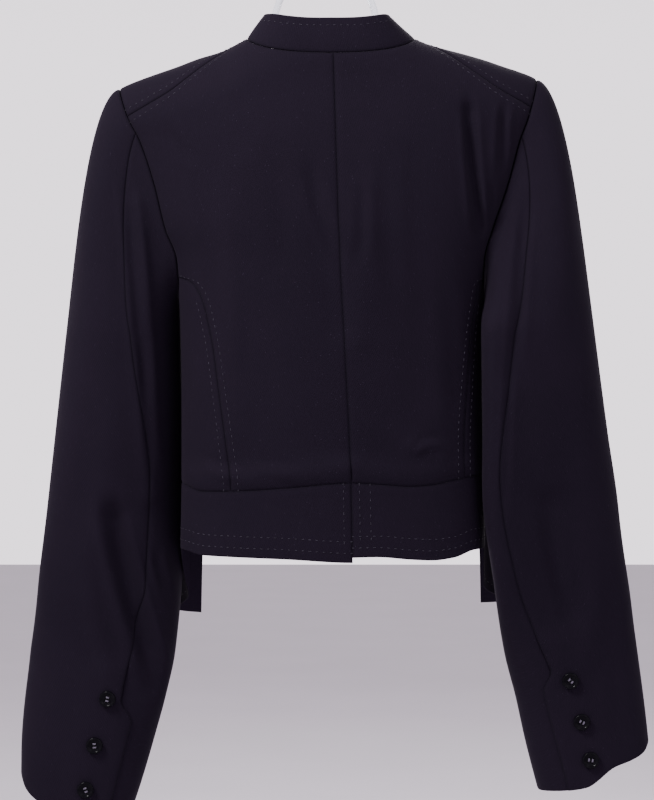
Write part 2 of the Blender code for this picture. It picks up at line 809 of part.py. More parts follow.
def make_waistband(side, cloth):
    """Half of the waistband, from the centre seam to the side seam."""
    hem = WAIST[SIDE_NAMES[side] + "_hem"]
    surface = ruled_surface(
        side,
        lambda height, facing: centre_turn(side, height) + SEAM_TURN,
        side_seam,
        level_edge(side, -1, lambda part, across, turn: hem(across), 0.0),
        waist_edge(side, -SEAM_GAP / 2),
    )
    name = "waistband_" + SIDE_NAMES[side]
    return wall_object(name, surface, even(BAND_COLUMNS), even(BAND_ROWS), torso_core, cloth, WALL)


def neck_point(around):
    """Point of the neckline at a signed angle from centre back, left below zero."""
    size = np.abs(around)
    across = NECK["across"](size)
    height = NECK["height"](size)
    facing = np.where(size < NECK_SHOULDER, -1, 1)
    left = torso_point(-1, turn_of(across / half_width(-1, height)), height, facing)
    right = torso_point(1, turn_of(across / half_width(1, height)), height, facing)
    return np.where((around < 0)[..., None], left, right)


def collar_surface(part, rise):
    """Stand collar: part goes round from the left end to the right, rise goes up from the neckline."""
    around = np.clip(mix(-NECK_END, NECK_END, part), -NECK_END, NECK_END)
    base = neck_point(around)
    size = np.abs(around)
    lean = np.where(around < 0, COLLAR["lean_left"](size), COLLAR["lean_right"](size))
    inward = base * np.array((-1.0, -1.0, 0.0)) + np.array((COLLAR_AXIS, 0.0, 0.0))
    inward = inward / np.linalg.norm(inward, axis=-1)[..., None]
    up = inward * lean[..., None]
    up[..., 2] += COLLAR["height"](size)
    slant = np.linalg.norm(up, axis=-1)
    foot = (COLLAR_GAP + COLLAR_WALL * lean / slant) / slant
    return base + up * mix(foot, 1.0, rise)[..., None]


def make_collar(cloth):
    """Stand collar round the neckline, leaning inward."""

    def core(points):
        return points * np.array((0.0, 0.0, 1.0))

    parts = even(COLLAR_COLUMNS)
    return wall_object("collar", collar_surface, parts, even(COLLAR_ROWS), core, cloth, COLLAR_WALL)


def cuff_height(side):
    """Height of the middle of the cuff's ring."""
    return SLEEVE_ROWS[side][0][0]


def sleeve_section(side, around, height):
    """Point of the sleeve's outer face at an angle round it, on the ring centred at a height."""
    column = SLEEVE[side]
    outward, behind = section(90 - around, SLEEVE_POWER)
    across = column["centre"](height) + outward * column["width"](height) / 2
    depth = column["forward"](height) - behind * column["depth"](height) / 2
    shape = CUFF[SIDE_NAMES[side]]((1 + outward) / 2) - CUFF_DIP
    level = height + shape * smooth(1 - (height - cuff_height(side)) / CUFF_BLEND)
    return np.stack(np.broadcast_arrays(side * across, depth, level), axis=-1)


def ring_height(side, along):
    """Height of the middle of a sleeve ring: along is 0 at the armhole, 1 below it, 2 at the cuff."""
    cap = mix(CAP_TOP, SLEEVE_LEVEL, np.clip(along, 0, 1))
    return np.where(along < 1, cap, mix(SLEEVE_LEVEL, cuff_height(side), along - 1))


def unit(vectors):
    return vectors / np.linalg.norm(vectors, axis=-1)[..., None]


def sleeve_shape(side, around, along):
    """Sleeve without its folds: a cap that springs from the armhole, then level rings to the cuff."""
    height = mix(SLEEVE_LEVEL, cuff_height(side), np.maximum(along - 1, 0))
    arm = sleeve_section(side, around, height)
    finish_way = unit(sleeve_section(side, around, height - SLOPE_STEP) - arm)
    spread = (1 + np.cos(np.radians(around))) / 2
    behind = np.sin(np.radians(around))
    rising = mix(CAP_WAY_UNDERARM, CAP_WAY_TOP, spread)
    way = np.broadcast_arrays(side * 1.0, CAP_SETBACK[side] * behind, rising)
    start_way = unit(np.stack(way, axis=-1))
    ring = armhole_point(side, np.mod(around, 360)) + start_way * SLEEVE_CLEARANCE
    reach = mix(CAP_REACH_UNDERARM, CAP_REACH_TOP, spread)[..., None]
    span = np.linalg.norm(arm - ring, axis=-1)[..., None]
    part = np.clip(along, 0, 1)[..., None]
    rest = 1 - part
    cap = (1 + 2 * part) * rest**2 * ring + part**2 * (3 - 2 * part) * arm
    cap = cap + part * rest**2 * start_way * reach - part**2 * rest * finish_way * span
    return np.where(part < 1, cap, arm)


def sleeve_point(side, around, along, lift):
    """Point of the sleeve's outer face, with its folds, raised by a lift off the sleeve."""
    points = sleeve_shape(side, around, along)
    behind = np.clip(np.sin(np.radians(around)), 0, 1)
    relief = fold_relief(SLEEVE_FOLDS, points[..., 0], points[..., 2]) * behind * smooth(along * 2)
    outward, back = section(90 - around, SLEEVE_POWER)
    normal = unit(np.stack((side * outward, -back, np.zeros(outward.shape)), axis=-1))
    points = points + normal * np.asarray(lift)[..., None]
    points[..., 1] -= relief
    return points


def sleeve_rows():
    cap = np.linspace(0, 1, CAP_ROWS + 1)
    arm = np.linspace(1, 2, ARM_ROWS + 1)
    return np.concatenate((cap, arm[1:]))


def vent_part(side, along, length):
    """1 down by the cuff, easing to 0 at this length above it."""
    return smooth((cuff_height(side) + length - ring_height(side, along)) / VENT_FADE)


def lap_lift(side, around, along):
    """Lift of the upper sleeve where it laps over the under sleeve at the vent."""
    seam = SLEEVE_SEAM[SIDE_NAMES[side]](ring_height(side, along))
    lifted = vent_part(side, along, VENT_LENGTH + 2 * VENT_FADE)
    return VENT_LIFT * smooth((around - seam + LIFT_START) / LIFT_FADE) * lifted


def make_sleeve(side, cloth):
    """Upper and under sleeve; at the cuff vent the upper one laps over the under one."""
    name = SIDE_NAMES[side]

    def core(points):
        height = np.minimum(points[..., 2], SLEEVE_LEVEL)
        column = SLEEVE[side]
        axis = (side * column["centre"](height), column["forward"](height), points[..., 2])
        return np.stack(axis, axis=-1)

    def upper(part, along):
        seam = SLEEVE_SEAM[name](ring_height(side, along))
        last = seam - SEAM_TURN_SLEEVE + VENT_LAP * vent_part(side, along, VENT_LENGTH)
        around = mix(SLEEVE_FRONT_SEAM - 360 + SEAM_TURN_SLEEVE, last, part)
        return sleeve_point(side, around, along, lap_lift(side, around, along))

    def under(part, along):
        seam = SLEEVE_SEAM[name](ring_height(side, along))
        around = mix(seam + SEAM_TURN_SLEEVE, SLEEVE_FRONT_SEAM - SEAM_TURN_SLEEVE, part)
        return sleeve_point(side, around, along, 0.0)

    rows = sleeve_rows()
    return [
        wall_object("upper_sleeve_" + name, upper, even(UPPER_COLUMNS), rows, core, cloth, WALL),
        wall_object("under_sleeve_" + name, under, even(UNDER_COLUMNS), rows, core, cloth, WALL),
    ]


def button_mesh(material):
    """Turned button with a raised rim and a shallow well, pierced by four holes."""
    disc = bmesh.new()
    verts = []
    for radius, height in BUTTON_OUTLINE:
        verts.append(disc.verts.new((radius * BUTTON_RADIUS, 0.0, height * BUTTON_THICKNESS)))
    edges = [disc.edges.new(pair) for pair in zip(verts, verts[1:])]
    bmesh.ops.spin(
        disc,
        geom=verts + edges,
        axis=(0, 0, 1),
        cent=(0, 0, 0),
        angle=math.tau,
        steps=BUTTON_STEPS,
    )
    bmesh.ops.remove_doubles(disc, verts=disc.verts[:], dist=0.00001)
    bmesh.ops.recalc_face_normals(disc, faces=disc.faces[:])
    mesh = bpy.data.meshes.new("button_disc")
    disc.to_mesh(mesh)
    disc.free()
    holes = bmesh.new()
    for quarter in range(4):
        angle = math.radians(45 + 90 * quarter)
        place = Vector((math.cos(angle), math.sin(angle), 0)) * BUTTON_HOLE_SPACING
        place.z = BUTTON_THICKNESS / 2
        bmesh.ops.create_cone(
            holes,
            cap_ends=True,
            segments=BUTTON_HOLE_SIDES,
            radius1=BUTTON_HOLE_RADIUS,
            radius2=BUTTON_HOLE_RADIUS,
            depth=BUTTON_THICKNESS * 2,
            matrix=Matrix.Translation(place),
        )
    hole_mesh = bpy.data.meshes.new("button_holes")
    holes.to_mesh(hole_mesh)
    holes.free()
    blank = bpy.data.objects.new("button_blank", mesh)
    cutter = bpy.data.objects.new("button_cutter", hole_mesh)
    for item in (blank, cutter):
        bpy.context.collection.objects.link(item)
    cut = blank.modifiers.new("holes", "BOOLEAN")
    cut.operation = "DIFFERENCE"
    cut.object = cutter
    bpy.context.view_layer.update()
    graph = bpy.context.evaluated_depsgraph_get()
    pierced = bpy.data.meshes.new_from_object(blank.evaluated_get(graph))
    for item in (blank, cutter):
        bpy.data.objects.remove(item)
    pierced.name = "button"
    pierced.materials.clear()
    pierced.materials.append(material)
    pierced.shade_smooth()
    pierced.set_sharp_from_angle(angle=math.radians(BUTTON_SHARP_ANGLE))
    return pierced


def along_of_height(side, height):
    return 1 + (SLEEVE_LEVEL - height) / (SLEEVE_LEVEL - cuff_height(side))


def make_buttons(side, material, mesh):
    """Three buttons up the lapped edge of the cuff vent."""
    made = []
    for number, (height, around) in enumerate(BUTTON_ROWS[side], start=1):
        along = np.array(along_of_height(side, height))

        def place(turn, level):
            turn = np.array(turn)
            return Vector(sleeve_point(side, turn, level, lap_lift(side, turn, level)))

        centre = place(around, along)
        aside = place(around + 1.0, along) - place(around - 1.0, along)
        down = place(around, along + 0.01) - place(around, along - 0.01)
        normal = aside.cross(down).normalized()
        if normal.y > 0:
            normal = -normal
        button = bpy.data.objects.new(f"button_{SIDE_NAMES[side]}_{number}", mesh)
        button.location = centre + normal * BUTTON_SEAT
        button.rotation_mode = "QUATERNION"
        button.rotation_quaternion = normal.to_track_quat("Z", "Y")
        bpy.context.collection.objects.link(button)
        made.append(button)
    return made


def hanger_line(side):
    """Middle line of half the hanger from its apex: arch, bend and arm, as (x, z, rim, depth) rows."""
    rows = []
    for step in range(ARCH_STEPS + 1):
        angle = math.radians(mix(90.0, ARCH_END_ANGLE, step / ARCH_STEPS))
        across = ARCH_HALF_WIDTH * math.cos(angle)
        height = ARCH_FOOT + ARCH_RISE * math.sin(angle)
        rows.append((across, height, ARCH_RIM_HALF, ARCH_DEPTH_HALF))
    arm = []
    for step in range(ARM_STEPS + 1):
        across = mix(ARM_START, ARM_END, step / ARM_STEPS)
        cloth_across = side * across - GARMENT_SHIFT
        ridge, beyond = ridge_height(side, np.array((cloth_across, cloth_across + SLOPE_STEP))).tolist()
        grown = float(smooth((across - ARM_START) / ARM_GROWTH))
        clearance = mix(ARM_CLEARANCE_NECK, ARM_CLEARANCE, grown)
        drop = (WALL + clearance + ARM_RIM_HALF) * math.hypot(1, (beyond - ridge) / SLOPE_STEP)
        arm.append((across, ridge - drop, ARM_RIM_HALF, mix(ARCH_DEPTH_HALF, ARM_DEPTH_HALF, grown)))
    last_arch = Vector(rows[-1][:2])
    first_arm = Vector(arm[0][:2])
    rise = (first_arm.x - last_arch.x) * BEND_RISE
    corner = Vector((last_arch.x + BEND_REACH, first_arm.y + rise))
    for step in range(1, BEND_STEPS):
        part = step / BEND_STEPS
        place = last_arch * (1 - part) ** 2 + corner * 2 * part * (1 - part) + first_arm * part**2
        rows.append((place.x, place.y, mix(ARCH_RIM_HALF, ARM_RIM_HALF, part), ARCH_DEPTH_HALF))
    rows += arm
    tip = Vector(arm[-1][:2])
    end_way = (tip - Vector(arm[-2][:2])).normalized()
    for reach, size in ARM_TIP_ROWS:
        place = tip + end_way * reach
        rows.append((place.x, place.y, ARM_RIM_HALF * size, ARM_DEPTH_HALF * size))
    return [(side * across, height, rim, depth) for across, height, rim, depth in rows]


def make_hanger(material):
    """Clear hanger: an oval section swept from one arm's tip over the arch to the other's."""
    line = hanger_line(-1)[::-1] + hanger_line(1)[1:]
    body = bmesh.new()
    rings = []
    for index, (across, height, rim, depth) in enumerate(line):
        before = line[max(index - 1, 0)]
        after = line[min(index + 1, len(line) - 1)]
        way = Vector((after[0] - before[0], 0, after[1] - before[1])).normalized()
        up = Vector((-way.z, 0, way.x))
        ring = []
        for step in range(HANGER_SIDES):
            angle = math.tau * step / HANGER_SIDES
            place = Vector((across, 0, height)) + up * rim * math.cos(angle)
            place.y = depth * math.sin(angle)
            ring.append(body.verts.new(place))
        rings.append(ring)
    for first, second in zip(rings, rings[1:]):
        for step in range(HANGER_SIDES):
            following = (step + 1) % HANGER_SIDES
            body.faces.new((first[step], first[following], second[following], second[step]))
    body.faces.new(rings[0])
    body.faces.new(rings[-1])
    bmesh.ops.recalc_face_normals(body, faces=body.faces[:])
    mesh = bpy.data.meshes.new("hanger")
    body.to_mesh(mesh)
    body.free()
    mesh.materials.append(material)
    mesh.shade_smooth()
    hanger = bpy.data.objects.new("hanger", mesh)
    hanger.location = (0, 0, -GARMENT_DROP)
    bpy.context.collection.objects.link(hanger)
    apex = ARCH_FOOT + ARCH_RISE + ARCH_RIM_HALF
    bpy.ops.mesh.primitive_cylinder_add(
        vertices=SOCKET_SIDES,
        radius=SOCKET_RADIUS,
        depth=SOCKET_TOP + ARCH_RIM_HALF,
        location=(0, 0, apex - GARMENT_DROP + (SOCKET_TOP - ARCH_RIM_HALF) / 2),
    )
    socket = bpy.context.object
    socket.name = "hook_socket"
    socket.hide_render = True
    socket.display_type = "WIRE"
    join = hanger.modifiers.new("socket", "BOOLEAN")
    join.operation = "UNION"
    join.object = socket
    return hanger


def make_hook(material):
    """Wire hook: a stem on the hanger's socket, bent into an open ring round the rail."""
    radius = HOOK_INNER_RADIUS + HOOK_WIRE
    centre = Vector((0, 0, -HOOK_INNER_RADIUS))
    foot = ARCH_FOOT + ARCH_RISE + ARCH_RIM_HALF + SOCKET_TOP - GARMENT_DROP + SEAM_GAP
    join = math.radians(HOOK_JOIN_ANGLE)
    joint = centre + Vector((math.cos(join), 0, math.sin(join))) * radius
    joint_way = Vector((-math.sin(join), 0, math.cos(join)))
    stem_top = Vector((0, 0, HOOK_BEND_START))
    stem_foot = Vector((0, 0, foot))
    route = [stem_foot, (stem_foot + stem_top) / 2]
    pull_a = stem_top + Vector((0, 0, HOOK_BEND_PULL))
    pull_b = joint - joint_way * HOOK_BEND_PULL
    for step in range(HOOK_BEND_STEPS):
        part = step / HOOK_BEND_STEPS
        rest = 1 - part
        place = stem_top * rest**3 + pull_a * 3 * part * rest**2
        place = place + pull_b * 3 * part**2 * rest + joint * part**3
        route.append(place)
    for step in range(HOOK_RING_STEPS + 1):
        angle = math.radians(mix(HOOK_JOIN_ANGLE, HOOK_TIP_ANGLE, step / HOOK_RING_STEPS))
        route.append(centre + Vector((math.cos(angle), 0, math.sin(angle))) * radius)
    wire = bpy.data.curves.new("hook", "CURVE")
    wire.dimensions = "3D"
    wire.bevel_depth = HOOK_WIRE
    wire.bevel_resolution = 2
    wire.use_fill_caps = True
    spline = wire.splines.new("POLY")
    spline.points.add(len(route) - 1)
    for point, place in zip(spline.points, route):
        point.co = (*place, 1.0)
    wire.materials.append(material)
    hook = bpy.data.objects.new("hook", wire)
    bpy.context.collection.objects.link(hook)
    return hook


def build():
    """Build the jacket at its nape datum, then the hanger and the hook that carry it."""
    for item in list(bpy.data.objects):
        bpy.data.objects.remove(item)
    cloth = material_of("near_black_wool", (0.015, 0.012, 0.022), 0.82, 0.0)
    horn = material_of("black_button", (0.010, 0.010, 0.012), 0.18, 0.0)
    clear = material_of("clear_plastic", (0.80, 0.83, 0.86), 0.06, 0.0)
    steel = material_of("bright_wire", (0.70, 0.70, 0.72), 0.16, 1.0)
    nape = bpy.data.objects.new("nape_datum", None)
    nape.location = (GARMENT_SHIFT, 0, -GARMENT_DROP)
    bpy.context.collection.objects.link(nape)
    disc = button_mesh(horn)
    pieces = [make_collar(cloth)]
    for side in (-1, 1):
        pieces.append(make_back(side, cloth))
        pieces.append(make_side_back(side, cloth))
        pieces.append(make_front(side, cloth))
        pieces.append(make_waistband(side, cloth))
        pieces += make_sleeve(side, cloth)
        pieces += make_buttons(side, horn, disc)
    for piece in pieces:
        piece.parent = nape
    make_hanger(clear)
    make_hook(steel)


build()
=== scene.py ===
"""Cropped jacket on a clear hanger: cloth sheets, saddle stitching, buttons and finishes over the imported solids.

Metres, +Z up, in the row frame. The garment's back faces -Y. Garment sizes are measured from the nape datum,
which hangs GARMENT_DROP below the inner top of the hook.
"""

import logging
import math
from collections.abc import Callable, Sequence
from dataclasses import dataclass, field
from enum import Enum
from functools import partial

import bmesh
import bpy
import numpy as np
from bmesh.types import BMesh, BMVert
from bpy.types import Material, Mesh, Node, NodeSocket, NodeTree, Object
from mathutils import Matrix, Vector


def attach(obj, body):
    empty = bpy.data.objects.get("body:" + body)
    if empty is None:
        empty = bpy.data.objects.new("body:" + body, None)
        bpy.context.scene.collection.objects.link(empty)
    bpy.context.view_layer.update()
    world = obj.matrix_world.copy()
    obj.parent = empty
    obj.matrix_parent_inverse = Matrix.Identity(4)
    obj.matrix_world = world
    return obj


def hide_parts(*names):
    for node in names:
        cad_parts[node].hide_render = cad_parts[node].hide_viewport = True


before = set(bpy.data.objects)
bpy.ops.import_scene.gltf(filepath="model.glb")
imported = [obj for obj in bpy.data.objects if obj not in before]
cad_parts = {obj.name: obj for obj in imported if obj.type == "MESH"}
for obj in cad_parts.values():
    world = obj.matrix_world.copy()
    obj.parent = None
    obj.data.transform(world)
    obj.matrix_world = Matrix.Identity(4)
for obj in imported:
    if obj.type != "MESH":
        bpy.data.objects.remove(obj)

log = logging.getLogger("jacket")

GARMENT_DROP = 0.178
GARMENT_SHIFT = 0.005
DATUM = np.array((GARMENT_SHIFT, 0.0, -GARMENT_DROP))
WALL = 0.0016
COLLAR_WALL = 0.0024
SECTION_POWER = 2.6
SLEEVE_POWER = 2.3
RIDGE_RADIUS = 0.050
QUARTER_ARC = RIDGE_RADIUS * math.pi / 2
SETTLE_STEPS = 9
LEVEL_STEPS = 5
HALVING_STEPS = 26
LEAP_LIMIT = 0.01
WELD_DISTANCE = 0.00001
WAVE_PITCH_FACTOR = 0.314

Array = np.ndarray
Row = Sequence[float]
Table = tuple[Row, ...]
Surface = Callable[[Array, Array], Array]


class Side(Enum):
    """Left and right as seen from behind, with the sign of the across axis."""

    LEFT = -1
    RIGHT = 1

    @property
    def word(self) -> str:
        """Name used in node names and table columns."""
        return self.name.lower()

    def pick(self, pair: tuple) -> object:
        """The left or the right one of a pair."""
        return pair[self is Side.RIGHT]


class Edge(Enum):
    """One of a sheet's four edges, by its place in the sheet's own two measures."""

    FIRST = "first"
    LAST = "last"
    BOTTOM = "bottom"
    TOP = "top"


class Curve:
    """Smooth curve through the rows of a table, which never swings past them."""

    def __init__(self, places: Row, values: Row) -> None:
        """Work out the slope at each row.

        Args:
            places: Rising places of the rows.
            values: Value at each place.
        """
        self.places = np.array(places, dtype=float)
        self.values = np.array(values, dtype=float)
        steps = np.diff(self.places)
        slopes = np.diff(self.values) / steps
        self.tangents = np.zeros_like(self.values)
        self.tangents[0], self.tangents[-1] = slopes[0], slopes[-1]
        for index in range(1, len(slopes)):
            before, after = slopes[index - 1], slopes[index]
            if before * after > 0:
                weight_before = 2 * steps[index] + steps[index - 1]
                weight_after = steps[index] + 2 * steps[index - 1]
                total = weight_before + weight_after
                self.tangents[index] = total / (weight_before / before + weight_after / after)

    def __call__(self, place: Array | float) -> Array:
        """Value at a place, held level past the table's ends.

        Args:
            place: Where to read the curve.

        Returns:
            The value there.
        """
        place = np.clip(place, self.places[0], self.places[-1])
        row = np.clip(np.searchsorted(self.places, place) - 1, 0, len(self.places) - 2)
        step = self.places[row + 1] - self.places[row]
        part = (place - self.places[row]) / step
        rest = 1 - part
        start = (1 + 2 * part) * rest * rest * self.values[row]
        finish = part * part * (3 - 2 * part) * self.values[row + 1]
        bend = part * rest * rest * self.tangents[row] - part * part * rest * self.tangents[row + 1]
        return start + finish + step * bend


def curves(columns: str, rows: Table) -> dict[str, Curve]:
    """One curve for each named column of a table after its first.

    Args:
        columns: Names of the columns, with spaces between them.
        rows: The table, in rising order of its first column.

    Returns:
        Curves by column name.
    """
    places, *values = zip(*rows)
    return {name: Curve(places, column) for name, column in zip(columns.split()[1:], values)}


def smooth(value: Array | float) -> Array:
    """Ease from 0 to 1 as the value goes from 0 to 1."""
    part = np.clip(value, 0, 1)
    return part * part * (3 - 2 * part)


def mix(start: float, finish: float, part: Array | float) -> Array:
    """Value part of the way from start to finish."""
    return start + (finish - start) * part


def unit(vectors: Array) -> Array:
    """Vectors of length 1 along the last axis."""
    return vectors / np.maximum(np.linalg.norm(vectors, axis=-1), 1e-12)[..., None]


def joined(*parts: Array | float) -> Array:
    """Points or pairs from their separate parts, along a new last axis."""
    return np.stack(np.broadcast_arrays(*parts), axis=-1)


def section(turn: Array, power: float) -> tuple[Array, Array]:
    """Unit rounded-square section.

    Args:
        turn: Angle from the back, in degrees.
        power: 2 for a round section, more for a squarer one.

    Returns:
        Across and back parts of the section's point.
    """
    across, back = np.sin(np.radians(turn)), np.cos(np.radians(turn))
    size = (np.abs(across) ** power + np.abs(back) ** power) ** (1 / power)
    return across / size, back / size


def turn_of(across: Array) -> Array:
    """Turn at which the torso section has a signed part of its half width.

    Args:
        across: That part, from -1 to 1.

    Returns:
        The turn in degrees.
    """
    part = np.clip(np.abs(across), 0, 1)
    back = (1 - part**SECTION_POWER) ** (1 / SECTION_POWER)
    return np.sign(across) * np.degrees(np.arctan2(part, back))


def beside(ends: Row, across: Array, height: Array) -> tuple[Array, Array, float]:
    """Where places lie against a line in the back view.

    Args:
        ends: Across and height of the line's start, then of its end.
        across: Distance across of the places.
        height: Their height.

    Returns:
        Part of the way along the line, distance aside from it, and its length.
    """
    along = np.array((ends[2] - ends[0], ends[3] - ends[1]))
    length = np.hypot(*along)
    along = along / length
    from_across, from_height = across - ends[0], height - ends[1]
    part = (from_across * along[0] + from_height * along[1]) / length
    return part, from_across * along[1] - from_height * along[0], length


@dataclass(frozen=True)
class Fold:
    """A soft trough or ridge in the cloth, laid out in the back view.

    A trough has a depth below zero. bow bends its line sideways at the middle, and lip is the share of its
    depth that rises again on both sides of it.
    """

    across_a: float
    height_a: float
    across_b: float
    height_b: float
    half_width: float
    depth: float
    bow: float = 0.0
    lip: float = 0.35
    overrun: float = 0.12
    ease: float = 0.4
    lip_place: float = 1.9
    lip_width: float = 0.8

    def relief(self, across: Array, height: Array) -> Array:
        """Rise of the cloth at places in the back view.

        Args:
            across: Distance across of the places.
            height: Their height.

        Returns:
            How far the cloth stands out.
        """
        ends = (self.across_a, self.height_a, self.across_b, self.height_b)
        part, aside, _ = beside(ends, across, height)
        bend = self.bow * 4 * np.clip(part, 0, 1) * (1 - np.clip(part, 0, 1))
        aside = (aside - bend) / self.half_width
        fade = smooth((part + self.overrun) / self.ease) * smooth((1 + self.overrun - part) / self.ease)
        lips = np.exp(-(((np.abs(aside) - self.lip_place) / self.lip_width) ** 2))
        return self.depth * fade * (np.exp(-(aside**2)) - self.lip * lips)


def large_relief(folds: Table, across: Array, height: Array) -> Array:
    """Sum of the large folds that the solids have too.

    Args:
        folds: Rows of across, height, across, height, half width and depth.
        across: Distance across of the places.
        height: Their height.

    Returns:
        How far the cloth stands out.
    """
    total = np.zeros(np.broadcast(across, height).shape)
    for *ends, half_width, depth in folds:
        part, aside, length = beside(ends, across, height)
        past = np.maximum(np.maximum(-part, part - 1), 0) * length
        distance = np.sqrt(aside**2 + past**2) / half_width
        total = total + depth * np.exp(-(distance**2))
    return total


def small_relief(folds: Sequence[Fold], across: Array, height: Array) -> Array:
    """Sum of the small creases.

    Args:
        folds: The creases.
        across: Distance across of the places.
        height: Their height.

    Returns:
        How far the cloth stands out.
    """
    total = np.zeros(np.broadcast(across, height).shape)
    for fold in folds:
        total = total + fold.relief(across, height)
    return total


